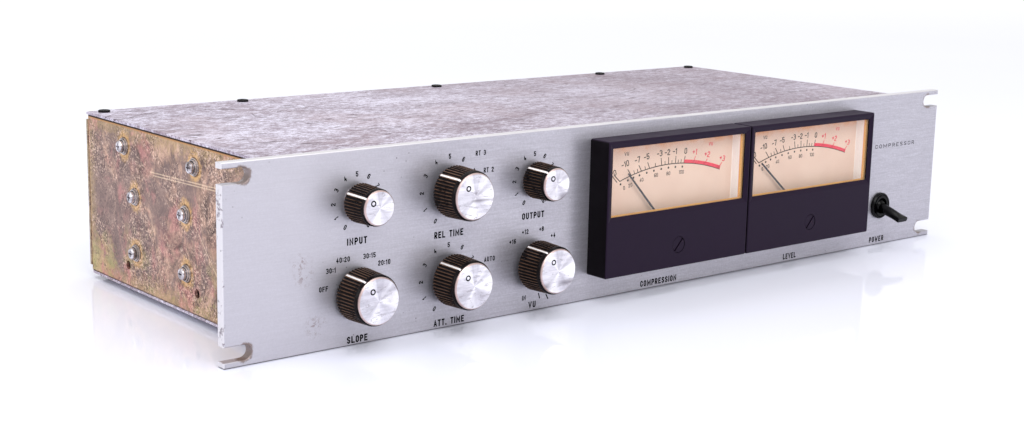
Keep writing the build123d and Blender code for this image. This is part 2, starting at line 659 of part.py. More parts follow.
with BuildPart() as toggle_nut:
    with BuildSketch(Plane(origin=(TOGGLE_X, FRONT, TOGGLE_Z), x_dir=(1, 0, 0), z_dir=(0, 0, 1))):
        with BuildLine():
            bore = TOGGLE_BUSHING_R + 0.05
            Polyline(
                (bore, 0),
                (7.6, 0),
                (7.6, -1.5),
                (7.1, -2.1),
                (6.6, -2.1),
                (6.2, -1.7),
                (bore, -1.7),
                close=True,
            )
        make_face()
    revolve(axis=Axis((TOGGLE_X, 0, TOGGLE_Z), (0, 1, 0)))
save(toggle_nut.part, "toggle_nut")

# The lever leans down from its pivot; its round root flattens into a square-ended paddle.
LEVER_LENGTH = 19.3
lever_plane = Plane(
    origin=(TOGGLE_X, TOGGLE_PIVOT_Y, TOGGLE_Z),
    x_dir=(1, 0, 0),
    z_dir=(0, -cos(radians(TOGGLE_TILT)), -sin(radians(TOGGLE_TILT))),
)
with BuildPart(lever_plane) as toggle_lever:
    Sphere(TOGGLE_BALL_R)
    with BuildSketch(lever_plane.offset(2.0)):
        Circle(2.7)
    with BuildSketch(lever_plane.offset(8.5)):
        Ellipse(3.4, 2.7)
    with BuildSketch(lever_plane.offset(LEVER_LENGTH)):
        RectangleRounded(8.5, 2.7, 0.7)
    loft()
    fillet(toggle_lever.faces().sort_by(Axis.Y)[0].edges(), 0.3)
save(toggle_lever.part, "toggle_lever")

# ---- electronics --------------------------------------------------------------------------------

BOARD_Y = (70.0, 136.5)
BOARD_HALF = HALF_W - SHEET - BRACKET_T - 0.5
BOARD_TOP = BOARD_Z + BOARD_T

with BuildPart() as circuit_board:
    block((-BOARD_HALF, BOARD_HALF), BOARD_Y, (BOARD_Z, BOARD_TOP))
    with Locations(*[(x, y, BOARD_TOP) for x, y in BOARD_SCREWS]):
        Hole(1.5)
save(circuit_board.part, "circuit_board")

board_screw = machine_screw(2.5, 1.7, 1.25, 5.0, cross=False)
save(repeat(board_screw, [Plane(origin=(x, y, BOARD_TOP)) for x, y in BOARD_SCREWS]), "board_screws")

with BuildPart() as board_parts:
    for k in range(12):
        x = -180.0 + 24.0 * k
        with Locations((x, 84.0, BOARD_TOP)):
            Cylinder(4.5, 6.5, align=(Align.CENTER, Align.CENTER, Align.MIN))
        block((x - 7.0, x + 7.0), (94.0, 99.0), (BOARD_TOP, BOARD_TOP + 10.0))
        block((x - 4.0, x + 4.0), (106.0, 109.0), (BOARD_TOP, BOARD_TOP + 3.0))
        with Locations((x, 122.0, BOARD_TOP)):
            Cylinder(6.0, 16.0, align=(Align.CENTER, Align.CENTER, Align.MIN))
save(board_parts.part, "board_parts")

with BuildPart() as filter_capacitors:
    for x in (118.0, 148.0, 178.0):
        with BuildSketch(Plane(origin=(x, 103.0, BOARD_TOP))):
            Circle(12.5)
        extrude(amount=27.0)
    fillet(filter_capacitors.edges().group_by(Axis.Z)[-1], 1.2)
save(filter_capacitors.part, "filter_capacitors")

with BuildPart() as power_transformer:
    x0, x1, y0, y1, floor = 132.0, 190.0, 144.5, 169.5, SIDE_BOTTOM
    block((x0, x1), (y0, y1), (floor + 1.6, floor + 46.0))
    fillet(power_transformer.edges().filter_by(Axis.Z), 1.5)
    block((x0 + 10, x1 - 10), (y0 - 5, y1 + 3), (floor + 9.0, floor + 38.0))
    block((x0 - 8, x1 + 8), (y0 + 2, y1 - 6), (floor, floor + 1.7))
save(power_transformer.part, "power_transformer")

with BuildPart() as audio_transformers:
    for x in (-185.0, -152.0, -119.0):
        with BuildSketch(Plane(origin=(x, 151.0, SIDE_BOTTOM))):
            Circle(13.0)
        extrude(amount=40.0)
    fillet(audio_transformers.edges().group_by(Axis.Z)[-1], 1.5)
save(audio_transformers.part, "audio_transformers")

# ---- rear connections ---------------------------------------------------------------------------

STRIP_POSTS = 10
with BuildPart() as terminal_strip:
    strip_half = STRIP_W / 2
    strip_z = (STRIP_Z - 11.0, STRIP_Z + 11.0)
    block((STRIP_X - strip_half, STRIP_X + strip_half), (CHASSIS_D, CHASSIS_D + 4.0), strip_z)
    pitch = (STRIP_W - 20.0) / STRIP_POSTS
    for k in range(STRIP_POSTS + 1):
        x = STRIP_X - strip_half + 10.0 + k * pitch
        block((x - 0.8, x + 0.8), (CHASSIS_D + 4.0, CHASSIS_D + 10.0), strip_z)
    block(
        (STRIP_X - strip_half + 10, STRIP_X + strip_half - 10),
        (CHASSIS_D + 4.0, CHASSIS_D + 10.0),
        (STRIP_Z - 0.9, STRIP_Z + 0.9),
    )
    terminal_points = [
        (STRIP_X - strip_half + 10.0 + (k + 0.5) * pitch, STRIP_Z + dz)
        for k in range(STRIP_POSTS)
        for dz in (-5.9, 5.9)
    ]
    with Locations(*[facing_rear(x, CHASSIS_D + 4.0, z) for x, z in terminal_points]):
        Hole(1.2, depth=2.7)
    with Locations(*[facing_rear(x, CHASSIS_D + 4.0, z) for x, z in STRIP_SCREWS]):
        Hole(SMALL_HOLE_R, depth=4.0)
save(terminal_strip.part, "terminal_strip")

terminal_screw = machine_screw(2.9, 1.8, 1.2, 2.6, cross=False)
terminal_planes = [facing_rear(x, CHASSIS_D + 4.0, z) for x, z in terminal_points]
save(repeat(terminal_screw, terminal_planes), "terminal_screws")

INLET_FLANGE_T = 3.0
SOCKET_DEPTH = 17.0
with BuildPart() as mains_inlet:
    with BuildSketch(facing_rear(INLET_X, CHASSIS_D, INLET_Z)):
        RectangleRounded(49.0, 22.6, 5.0)
    extrude(amount=INLET_FLANGE_T)
    with BuildSketch(facing_rear(INLET_X, CHASSIS_D, INLET_Z)):
        Rectangle(27.0, 19.6)
    extrude(amount=-18.0)
    with BuildSketch(facing_rear(INLET_X, CHASSIS_D + INLET_FLANGE_T, INLET_Z)) as mouth:
        Rectangle(24.0, 16.4)
        chamfer(mouth.vertices().group_by(Axis.Z)[0], 4.0)
    extrude(amount=-SOCKET_DEPTH, mode=Mode.SUBTRACT)
    pin_root = CHASSIS_D + INLET_FLANGE_T - SOCKET_DEPTH
    for dx, dz in ((-7.0, -2.0), (0.0, 2.6), (7.0, -2.0)):
        block(
            (INLET_X + dx - 1.0, INLET_X + dx + 1.0),
            (pin_root - 1.0, pin_root + 11.5),
            (INLET_Z + dz - 2.0, INLET_Z + dz + 2.0),
        )
    for dx in (-7.0, 0.0, 7.0):
        block((INLET_X + dx - 2.4, INLET_X + dx + 2.4), (152.0, 160.5), (INLET_Z - 0.4, INLET_Z + 0.4))
    with Locations(*[facing_rear(x, CHASSIS_D + INLET_FLANGE_T, z) for x, z in INLET_SCREWS]):
        Hole(SMALL_HOLE_R, depth=INLET_FLANGE_T)
save(mains_inlet.part, "mains_inlet")

with BuildPart() as fuse_holder:
    with BuildSketch(facing_rear(FUSE_X, CHASSIS_D, FUSE_Z)):
        Circle(8.0)
    extrude(amount=2.5)
    with BuildSketch(facing_rear(FUSE_X, CHASSIS_D + 2.5, FUSE_Z)):
        Circle(6.6)
    extrude(amount=7.0)
    chamfer(fuse_holder.edges().sort_by(Axis.Y)[-1], 0.8)
    with BuildSketch(facing_rear(FUSE_X, CHASSIS_D, FUSE_Z)):
        Circle(6.3)
    extrude(amount=-24.0)
    with BuildSketch(facing_rear(FUSE_X, CHASSIS_D + 9.5, FUSE_Z)):
        Rectangle(9.0, 1.4)
    extrude(amount=-1.2, mode=Mode.SUBTRACT)
save(fuse_holder.part, "fuse_holder")
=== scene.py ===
import json
import math
import bmesh
import bpy
from mathutils import Matrix, Vector


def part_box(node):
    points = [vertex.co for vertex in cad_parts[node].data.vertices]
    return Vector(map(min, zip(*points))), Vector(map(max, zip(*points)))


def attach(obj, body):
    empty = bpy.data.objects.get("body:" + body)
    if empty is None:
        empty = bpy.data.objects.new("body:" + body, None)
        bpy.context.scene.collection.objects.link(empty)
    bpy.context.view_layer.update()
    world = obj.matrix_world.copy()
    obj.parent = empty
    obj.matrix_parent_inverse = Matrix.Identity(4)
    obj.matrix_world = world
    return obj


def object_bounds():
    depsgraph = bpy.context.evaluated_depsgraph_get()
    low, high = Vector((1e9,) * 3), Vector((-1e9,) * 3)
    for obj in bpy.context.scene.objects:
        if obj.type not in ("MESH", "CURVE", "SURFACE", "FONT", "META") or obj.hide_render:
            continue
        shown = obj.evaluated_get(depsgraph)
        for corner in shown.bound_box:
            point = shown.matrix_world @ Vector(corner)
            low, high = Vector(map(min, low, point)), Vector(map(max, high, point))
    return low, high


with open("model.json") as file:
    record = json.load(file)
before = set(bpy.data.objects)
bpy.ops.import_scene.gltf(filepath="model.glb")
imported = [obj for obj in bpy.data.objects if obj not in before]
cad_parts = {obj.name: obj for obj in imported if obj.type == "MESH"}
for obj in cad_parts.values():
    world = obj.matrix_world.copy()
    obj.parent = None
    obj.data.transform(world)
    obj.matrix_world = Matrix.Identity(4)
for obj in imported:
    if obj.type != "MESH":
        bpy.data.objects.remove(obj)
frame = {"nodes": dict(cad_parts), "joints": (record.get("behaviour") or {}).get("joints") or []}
cad_low, cad_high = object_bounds()
nodes = frame["nodes"]
joint_at = {joint["child"]: Vector(joint["pos_m"]) for joint in frame["joints"]}
MM = 0.001

CONTROLS = ("input", "slope", "release", "attack", "output", "meter_select")
METERS = ("compression", "level")


# ---- materials ----------------------------------------------------------------------------------

def linear(red, green, blue):
    """Scene colour of an 8-bit display colour."""
    scaled = [channel / 255 for channel in (red, green, blue)]
    return tuple(c / 12.92 if c <= 0.04 else ((c + 0.055) / 1.055) ** 2.4 for c in scaled) + (1.0,)


class Finish:
    """A procedural material on one Principled shader. Patterns follow the object's own coordinates."""

    def __init__(self, name, **constants):
        self.material = bpy.data.materials.new(name)
        self.material.use_nodes = True
        self.tree = self.material.node_tree
        self.shader = self.tree.nodes["Principled BSDF"]
        source = self.tree.nodes.new("ShaderNodeTexCoord")
        self.coords, self.normal = source.outputs["Object"], source.outputs["Normal"]
        for key, value in constants.items():
            self.set(key.replace("_", " "), value)

    def wire(self, socket, value):
        if isinstance(value, bpy.types.NodeSocket):
            self.tree.links.new(value, socket)
        elif value is not None:
            socket.default_value = value

    def set(self, name, value):
        self.wire(self.shader.inputs[name], value)

    def place(self, stretch=(1, 1, 1), shift=(0, 0, 0), turn=(0, 0, 0)):
        mapping = self.tree.nodes.new("ShaderNodeMapping")
        self.wire(mapping.inputs["Vector"], self.coords)
        self.wire(mapping.inputs["Scale"], stretch)
        self.wire(mapping.inputs["Location"], shift)
        self.wire(mapping.inputs["Rotation"], tuple(math.radians(a) for a in turn))
        return mapping.outputs["Vector"]

    def noise(self, scale, detail, roughness=0.55, warp=0.0, vector=None, **placing):
        texture = self.tree.nodes.new("ShaderNodeTexNoise")
        self.wire(texture.inputs["Vector"], vector or self.place(**placing))
        settings = {"Scale": scale, "Detail": detail, "Roughness": roughness, "Distortion": warp}
        for key, value in settings.items():
            self.wire(texture.inputs[key], value)
        return texture.outputs["Fac"]

    def cells(self, scale, **placing):
        texture = self.tree.nodes.new("ShaderNodeTexVoronoi")
        self.wire(texture.inputs["Vector"], self.place(**placing))
        self.wire(texture.inputs["Scale"], scale)
        return texture.outputs["Distance"]

    def ramp(self, factor, *stops):
        node = self.tree.nodes.new("ShaderNodeValToRGB")
        self.wire(node.inputs["Fac"], factor)
        elements = node.color_ramp.elements
        while len(elements) < len(stops):
            elements.new(0.5)
        for element, (position, colour) in zip(elements, stops):
            element.position = position
            element.color = colour if isinstance(colour, tuple) else (colour, colour, colour, 1.0)
        return node.outputs["Color"]

    def mask(self, value, start, end, top=1.0):
        """0 at start, rising (or, with end below start, falling) to top at end."""
        node = self.tree.nodes.new("ShaderNodeMapRange")
        for key, number in (("Value", value), ("From Min", start), ("From Max", end), ("To Max", top)):
            self.wire(node.inputs[key], number)
        return node.outputs["Result"]

    def mix(self, factor, first, second):
        node = self.tree.nodes.new("ShaderNodeMix")
        node.data_type = "RGBA"
        for socket, value in ((node.inputs[0], factor), (node.inputs[6], first), (node.inputs[7], second)):
            self.wire(socket, value)
        return node.outputs[2]

    def math(self, operation, first, second=None, third=None):
        node = self.tree.nodes.new("ShaderNodeMath")
        node.operation = operation
        for socket, value in zip(node.inputs, (first, second, third)):
            self.wire(socket, value)
        return node.outputs[0]

    def blend(self, *weighted):
        """Weighted sum of values."""
        total = None
        for weight, value in weighted:
            share = self.math("MULTIPLY", value, weight)
            total = share if total is None else self.math("ADD", total, share)
        return total

    def both(self, *values):
        """Product of masks, so 1 only where all of them are."""
        product = values[0]
        for value in values[1:]:
            product = self.math("MULTIPLY", product, value)
        return product

    def axis(self, letter, source=None):
        node = self.tree.nodes.new("ShaderNodeSeparateXYZ")
        self.wire(node.inputs[0], source or self.coords)
        return node.outputs[letter]

    def distance(self, point, flatten):
        """Distance to a point; an axis flattened to 0 doesn't count."""
        node = self.tree.nodes.new("ShaderNodeVectorMath")
        node.operation = "DISTANCE"
        self.wire(node.inputs[0], self.place(stretch=flatten))
        self.wire(node.inputs[1], tuple(a * b for a, b in zip(point, flatten)))
        return node.outputs["Value"]

    def bearing(self, centre):
        """Unit vector away from an axis along Y; constant along a radius."""
        centred = self.place(stretch=(1, 0, 1), shift=(-centre.x, 0, -centre.z))
        node = self.tree.nodes.new("ShaderNodeVectorMath")
        node.operation = "NORMALIZE"
        self.wire(node.inputs[0], centred)
        return node.outputs["Vector"]

    def near_any(self, points, flatten):
        """Distance to the nearest of the points."""
        nearest = None
        for point in points:
            away = self.distance(point, flatten)
            nearest = away if nearest is None else self.math("MINIMUM", nearest, away)
        return nearest

    def creases(self, scale, width, **placing):
        """Thin wandering lines, 1 on a line."""
        level = self.noise(scale, 1.0, 0.4, **placing)
        return self.mask(self.math("ABSOLUTE", self.math("SUBTRACT", level, 0.5)), width, 0.0)

    def relief(self, height, strength, distance):
        """Bump too fine to model, such as brushing or pits; distance in metres."""
        node = self.tree.nodes.new("ShaderNodeBump")
        for key, value in (("Height", height), ("Strength", strength), ("Distance", distance)):
            self.wire(node.inputs[key], value)
        self.set("Normal", node.outputs["Normal"])


def brushed_panel(low, high, slot_ends, scuffs):
    """Fine brushing, painted light on the top and left edges and towards the left end, a painted shadow
    along the bottom, wear round the rack slots, specks and a few scuffed places.
    """
    f = Finish("brushed_panel", Metallic=0.75)
    streaks = f.noise(190, 3.0, 0.65, stretch=(0.12, 1, 5))
    fine = f.noise(520, 2.0, 0.6, stretch=(0.2, 1, 4), shift=(0.3, 0, 0.1))
    grain = f.noise(1100, 2.0, 0.7, shift=(0.2, 0.1, 0.4))
    cloud = f.noise(9, 3.0, 0.5, shift=(0.1, 0.2, 0.0))
    tone = f.blend((0.20, streaks), (0.38, fine), (0.42, grain))
    base = f.ramp(
        tone,
        (0.36, linear(172, 169, 178)),
        (0.5, linear(184, 181, 190)),
        (0.64, linear(198, 196, 205)),
    )
    base = f.mix(f.mask(cloud, 0.35, 0.7, 0.25), base, linear(172, 168, 179))
    # painted light: lighter towards the left end of the panel, where more light falls
    base = f.mix(f.mask(f.axis("X"), low.x * 0.5, low.x * 0.85, 0.6), base, linear(204, 201, 208))
    patches = f.mask(f.noise(30, 2.0, 0.5, shift=(0.4, 0.1, 0.3)), 0.58, 0.66)
    specks = f.mask(f.cells(300, shift=(0.02, 0, 0.05)), 0.14, 0.05)
    base = f.mix(f.both(specks, patches, 0.8), base, linear(84, 74, 82))
    rubbed_and_sheen = f.both(f.mask(f.near_any(scuffs, (1, 0, 1)), 0.0066, 0.0015),
                    f.mask(f.noise(480, 4.0, 0.8, shift=(0.3, 0.1, 0.9), warp=0.5), 0.53, 0.58))
    base = f.mix(f.math("MULTIPLY", rubbed_and_sheen, 0.6), base, linear(136, 114, 112))
    worn_noise = f.noise(260, 4.0, 0.7)
    ends = f.math("ADD", f.near_any(slot_ends, (1, 0, 1)), f.mask(worn_noise, 0.3, 0.7, 0.0022))
    base = f.mix(f.mask(ends, 0.0058, 0.0048, 0.8), base, linear(124, 104, 94))
    # painted highlight: the top and left edge faces are lightened, where the light catches them
    top = f.mask(f.axis("Z"), high.z - 0.0005, high.z - 0.0001)
    left = f.mask(f.axis("X"), low.x + 0.0005, low.x + 0.0001)
    nicked = f.noise(150, 4.0, 0.75, shift=(0.6, 0.1, 0.2))
    base = f.mix(f.math("MAXIMUM", top, left), base, linear(226, 223, 227))
    rounded = f.both(f.mask(f.axis("X"), low.x + 0.0010, low.x + 0.0006), f.mask(nicked, 0.56, 0.62))
    base = f.mix(f.math("MULTIPLY", rounded, 0.75), base, linear(116, 104, 116))
    # painted shadow: a thin dark line along the bottom edge, where the panel meets the floor
    base = f.mix(f.mask(f.axis("Z"), low.z + 0.0006, low.z + 0.0002, 0.8), base, linear(84, 78, 88))
    f.set("Base Color", base)
    f.set("Roughness", f.ramp(streaks, (0.3, 0.38), (0.7, 0.48)))
    f.relief(tone, 0.08, 0.00005)
    return f.material


def plated_side(low, high, washers, scratches):
    """Yellow zinc plate gone patchy: clouds, pits and stains, with golden rings round the washers.

    A scratch is a start (Y, Z), an end (Y, Z) and a strength.
    """
    f = Finish("plated_side", Metallic=0.5)
    patch = f.noise(70, 7.0, 0.78, stretch=(1, 1, 0.85), shift=(0.3, 0.2, 0.5), warp=0.8)
    clouds = f.noise(24, 6.0, 0.75, stretch=(1, 1, 0.7), warp=0.5)
    flecks = f.noise(900, 3.0, 0.8, shift=(0.5, 0.2, 0.1))
    grit = f.noise(480, 4.0, 0.8, shift=(0.1, 0.6, 0.7))
    base = f.ramp(
        patch,
        (0.38, linear(98, 78, 74)),
        (0.46, linear(142, 116, 104)),
        (0.55, linear(188, 152, 134)),
        (0.66, linear(224, 188, 162)),
    )
    base = f.mix(f.mask(clouds, 0.46, 0.52, 0.75), base, linear(128, 107, 104))
    to_top = f.math("SUBTRACT", high.z, f.axis("Z"))
    to_back = f.math("SUBTRACT", high.y, f.axis("Y"))
    edge = f.math("MINIMUM", to_top, to_back)
    edge = f.math("MINIMUM", edge, f.math("SUBTRACT", f.axis("Z"), low.z))
    gilded = f.math("ADD", edge, f.mask(grit, 0.3, 0.7, 0.012))
    base = f.mix(f.mask(gilded, 0.0150, 0.0070, 0.6), base, linear(192, 164, 114))
    pink = f.noise(40, 5.0, 0.7, stretch=(1, 1, 0.7), shift=(0.7, 0.1, 0.9), warp=0.5)
    base = f.mix(f.mask(pink, 0.55, 0.65, 0.55), base, linear(216, 148, 144))
    rosy = f.both(f.mask(f.noise(46, 5.0, 0.7, shift=(0.5, 0.4, 0.2), warp=0.5), 0.50, 0.60),
                  f.mask(f.axis("Z"), high.z * 0.55, high.z * 0.15))
    base = f.mix(f.math("MULTIPLY", rosy, 0.55), base, linear(222, 148, 142))
    olive = f.both(f.mask(f.noise(44, 5.0, 0.7, shift=(0.2, 0.9, 0.4)), 0.52, 0.60),
                   f.mask(f.axis("Z"), high.z * 0.5, high.z * 0.1))
    base = f.mix(f.math("MULTIPLY", olive, 0.6), base, linear(184, 178, 110))
    halo = f.math("ADD", f.near_any(washers, (1, 1, 0.85)), f.mask(grit, 0.3, 0.7, 0.0034))
    base = f.mix(f.mask(halo, 0.0088, 0.0066, 0.85), base, linear(222, 178, 118))
    # painted shadow: a dark ring on the plate round the edge of each washer
    outline = f.mask(f.near_any(washers, (0, 1, 1)), 0.0048, 0.0045, 0.8)
    base = f.mix(outline, base, linear(66, 42, 34))
    rough = f.mask(f.noise(34, 5.0, 0.75, shift=(0.9, 0.3, 0.2), warp=0.6), 0.47, 0.56, 0.88)
    rough = f.math("ADD", rough, 0.12)
    base = f.mix(f.both(f.mask(flecks, 0.46, 0.41, 0.85), rough), base, linear(76, 55, 53))
    base = f.mix(f.both(f.mask(flecks, 0.55, 0.60, 0.8), rough), base, linear(242, 212, 192))
    rearward = f.mask(f.axis("Y"), high.y * 0.45, high.y * 0.9)
    pits = f.both(f.mask(grit, 0.42, 0.38), rearward)
    base = f.mix(f.math("MULTIPLY", pits, 0.75), base, linear(74, 54, 50))
    for (start_y, start_z), (end_y, end_z), strength in scratches:
        slope = (end_z - start_z) / (end_y - start_y)
        line_z = f.math("MULTIPLY_ADD", f.axis("Y"), slope, start_z - slope * start_y)
        level = f.math("SUBTRACT", f.axis("Z"), line_z)
        on_line = f.mask(f.math("ABSOLUTE", level), 0.0004, 0.0001)
        above_end = f.mask(f.axis("Y"), end_y - 0.001, end_y + 0.001)
        below_start = f.mask(f.axis("Y"), start_y + 0.001, start_y - 0.001)
        broken = f.mask(grit, 0.36, 0.5, strength)
        scratch = f.both(on_line, f.both(above_end, below_start), broken)
        base = f.mix(scratch, base, linear(240, 214, 184))
    # painted highlight: a golden band on the rounded top and rear edges
    rim = f.math("MAXIMUM", f.mask(f.axis("Z"), high.z - 0.0017, high.z - 0.0012),
                 f.mask(f.axis("Y"), high.y - 0.0016, high.y - 0.0008))
    base = f.mix(f.math("MULTIPLY", rim, 0.8), base, linear(186, 134, 82))
    # painted shadow: a dark seam along the very top, under the top cover
    base = f.mix(f.mask(f.axis("Z"), high.z - 0.0009, high.z - 0.0007, 0.95), base, linear(34, 20, 18))
    f.set("Base Color", base)
    f.set("Roughness", f.ramp(patch, (0.3, 0.58), (0.7, 0.4)))
    f.relief(f.blend((1.0, flecks), (-0.6, pits)), 0.4, 0.00012)
    return f.material


def mottled_cover(name, dark, middle, pale, wear_and_shade=None):
    """Stained plating with crisp blotches, dark flecks and hairlines.

    It is painted darker along X, as shade, from the first place in the last argument to the second.
    """
    f = Finish(name, Metallic=0.4)
    cloud = f.noise(13, 5.0, 0.65, stretch=(0.7, 1, 1), warp=0.5)
    grain = f.noise(330, 5.0, 0.8, stretch=(0.6, 1, 1), turn=(0, 0, -10), warp=0.3)
    speck = f.noise(1000, 2.0, 0.8, stretch=(0.8, 1, 1))
    spread = 0.075
    tone = f.blend((0.28, cloud), (0.47, grain), (0.25, speck))
    base = f.ramp(tone, (0.5 - spread, dark), (0.5, middle), (0.5 + spread, pale))
    warm = f.noise(17, 3.0, 0.6, shift=(0.4, 0.3, 0.2))
    base = f.mix(f.mask(warm, 0.48, 0.62, 0.3), base, linear(168, 144, 150))
    rubbed_and_sheen = f.noise(190, 5.0, 0.8, stretch=(0.5, 1, 1), shift=(0.5, 0.1, 0.3), warp=0.4)
    base = f.mix(f.math("MULTIPLY", f.mask(rubbed_and_sheen, 0.57, 0.62), 0.6), base, pale)
    flecks = f.noise(230, 5.0, 0.8, stretch=(0.3, 1, 1), shift=(0.2, 0.7, 0.1), warp=0.5)
    base = f.mix(f.math("MULTIPLY", f.mask(flecks, 0.42, 0.39), 0.85), base, linear(86, 68, 80))
    lines = f.creases(9, 0.0024, stretch=(0.6, 1, 1), shift=(0.6, 0.2, 0.4), warp=0.6)
    hairs = f.both(lines, f.mask(cloud, 0.46, 0.54))
    base = f.mix(f.math("MULTIPLY", hairs, 0.85), base, linear(74, 60, 70))
    if wear_and_shade:
        # painted shade: the cover darker along X between the two places given
        base = f.mix(f.mask(f.axis("X"), *wear_and_shade, 0.42), base, linear(138, 124, 136))
    f.set("Base Color", base)
    f.set("Roughness", f.ramp(grain, (0.35, 0.55), (0.65, 0.4)))
    f.relief(grain, 0.2, 0.0001)
    return f.material


def plain_metal(name, colour, dark, roughness=0.35):
    """Metal with a faint grain of darker specks."""
    f = Finish(name, Metallic=0.9)
    grain = f.noise(260, 4.0, 0.65)
    f.set("Base Color", f.ramp(grain, (0.35, linear(*dark)), (0.6, linear(*colour))))
    f.set("Roughness", f.ramp(grain, (0.3, roughness + 0.15), (0.7, roughness)))
    f.relief(grain, 0.15, 0.00005)
    return f.material


def seated_washer(name, centres, inner):
    """Steel washer, darkened as painted shade where the part above it sits, out to the inner radius."""
    f = Finish(name, Metallic=0.8)
    grain = f.noise(260, 4.0, 0.65)
    base = f.ramp(grain, (0.35, linear(150, 142, 142)), (0.6, linear(222, 216, 218)))
    # painted shade: a dark ring on the washer round the foot of the part above
    base = f.mix(f.mask(f.near_any(centres, (0, 1, 1)), inner + 0.0002, inner), base, linear(22, 15, 14))
    f.set("Base Color", base)
    f.set("Roughness", f.ramp(grain, (0.3, 0.5), (0.7, 0.35)))
    return f.material


def moulded(name, colour, wear_and_shade, roughness, specular=0.5, shaded_flank=None):
    """Moulded plastic; the flank colour is a painted shade for the faces that look left and right."""
    f = Finish(name, Specular_IOR_Level=specular)
    grain = f.noise(700, 3.0, 0.6)
    cloud = f.noise(40, 4.0, 0.6)
    base = f.mix(f.mask(cloud, 0.4, 0.75, 0.5), linear(*colour), linear(*wear_and_shade))
    if shaded_flank:
        # painted shade: the faces that look left and right take the darker flank colour
        sideways = f.math("ABSOLUTE", f.axis("X", f.normal))
        base = f.mix(f.mask(sideways, 0.6, 0.95), base, linear(*shaded_flank))
    f.set("Base Color", base)
    f.set("Roughness", f.ramp(cloud, (0.3, roughness - 0.06), (0.7, roughness + 0.08)))
    f.relief(grain, 0.08, 0.00005)
    return f.material


def fluted_plastic(name, centre, base_radius, front_radius, low, high):
    """Dark brown knob whose crests between the flutes carry a painted golden highlight."""
    f = Finish(name, Specular_IOR_Level=0.12)
    ahead = f.mask(f.axis("Y"), high.y, low.y, base_radius - front_radius)
    outer = f.math("SUBTRACT", base_radius, ahead)
    inset = f.math("SUBTRACT", outer, f.distance(centre, (1, 0, 1)))
    rubbed_and_sheen = f.noise(160, 3.0, 0.6, shift=(0.3, 0.1, 0.2))
    fluted = f.mask(f.axis("Y"), low.y + 0.0012, low.y + 0.0020)
    # painted highlight: golden lines on the crests between the flutes, broken up by noise
    ridge_highlight = f.both(f.mask(inset, 0.00020, 0.00003), f.mask(rubbed_and_sheen, 0.30, 0.55), fluted)
    base = f.mix(f.math("MULTIPLY", ridge_highlight, 0.85), linear(9, 4, 6), linear(116, 88, 70))
    f.set("Base Color", base)
    f.set("Roughness", f.ramp(rubbed_and_sheen, (0.3, 0.24), (0.7, 0.36)))
    f.relief(rubbed_and_sheen, 0.05, 0.00005)
    return f.material


def spun_cap(name, centre):
    """Bright turned aluminium, scratched and a little stained, with soft wedges of light and shade."""
    f = Finish(name, Metallic=0.85, Anisotropic=0.6)
    tangent = f.tree.nodes.new("ShaderNodeTangent")
    tangent.direction_type = "RADIAL"
    tangent.axis = "Y"
    f.set("Tangent", tangent.outputs["Tangent"])
    scratch = f.noise(260, 3.0, 0.6, stretch=(0.25, 1, 2.5), turn=(0, 35, 0))
    cloud = f.noise(90, 3.0, 0.6)
    scored = f.creases(34, 0.02, stretch=(0.1, 1, 1.7), turn=(0, 24, 0))
    nicks = f.both(scored, f.mask(f.noise(50, 1.0, 0.5, shift=(0.2, 0, 0.6)), 0.48, 0.54))
    bearing = f.bearing(centre)
    wedges = f.noise(1.6, 1.0, 0.4, vector=bearing)
    rays = f.noise(14, 2.0, 0.6, vector=bearing)
    shade = f.blend((0.55, wedges), (0.15, rays), (0.30, scratch))
    base = f.ramp(
        shade,
        (0.40, linear(196, 193, 202)),
        (0.5, linear(226, 223, 231)),
        (0.62, linear(249, 247, 251)),
    )
    base = f.mix(f.mask(cloud, 0.5, 0.7, 0.5), base, linear(178, 172, 184))
    base = f.mix(f.math("MULTIPLY", nicks, 0.7), base, linear(104, 96, 104))
    grime = f.mask(f.noise(420, 4.0, 0.75, stretch=(0.5, 1, 1.5), turn=(0, 35, 0), warp=0.5), 0.43, 0.37)
    base = f.mix(f.math("MULTIPLY", grime, 0.55), base, linear(146, 138, 146))
    # painted reflection: the bevelled rim, whose faces turn away from the front, tinted warm pink-gold
    edge = f.math("ABSOLUTE", f.axis("Y", f.normal))
    base = f.mix(f.mask(edge, 0.95, 0.80, 0.6), base, linear(196, 156, 140))
    f.set("Base Color", base)
    f.set("Roughness", f.ramp(cloud, (0.3, 0.28), (0.7, 0.42)))
    f.relief(f.blend((1.0, scratch), (-1.0, nicks)), 0.12, 0.00005)
    return f.material


def paper(cards, centres):
    """Aged cream dial cards, browner at the top and left; their trays are whitened on the right inner wall
    as a painted highlight, and tan in front.
    """
    low, high = cards
    wall, inner = 0.0008, 0.0456
    f = Finish("dial_card", Roughness=0.75, Specular_IOR_Level=0.2)
    blotch = f.noise(60, 4.0, 0.6)
    base = f.ramp(blotch, (0.3, linear(228, 200, 181)), (0.7, linear(221, 191, 173)))
    across = f.math("SUBTRACT", f.axis("X"), centres[0])
    second = f.mask(across, (centres[1] - centres[0]) / 2, (centres[1] - centres[0]) / 2 + 0.0001)
    across = f.math("SUBTRACT", across, f.math("MULTIPLY", second, centres[1] - centres[0]))
    from_left = f.math("ADD", across, inner)
    from_top = f.math("SUBTRACT", high.z - wall, f.axis("Z"))
    stain = f.noise(110, 4.0, 0.6, shift=(0.3, 0.2, 0.6))
    near = f.math("ADD", f.math("MINIMUM", from_left, from_top), f.mask(stain, 0.35, 0.75, 0.005))
    base = f.mix(f.mask(near, 0.0062, 0.0015, 0.8), base, linear(222, 150, 84))
    # painted highlight: the tray's right inner wall, which faces the light, whitened
    base = f.mix(f.mask(across, inner - 0.0002, inner - 0.0001), base, linear(255, 250, 246))
    front = f.mask(f.axis("Y"), low.y + 0.0006, low.y + 0.0002)
    base = f.mix(front, base, linear(232, 160, 78))
    f.set("Base Color", base)
    return f.material


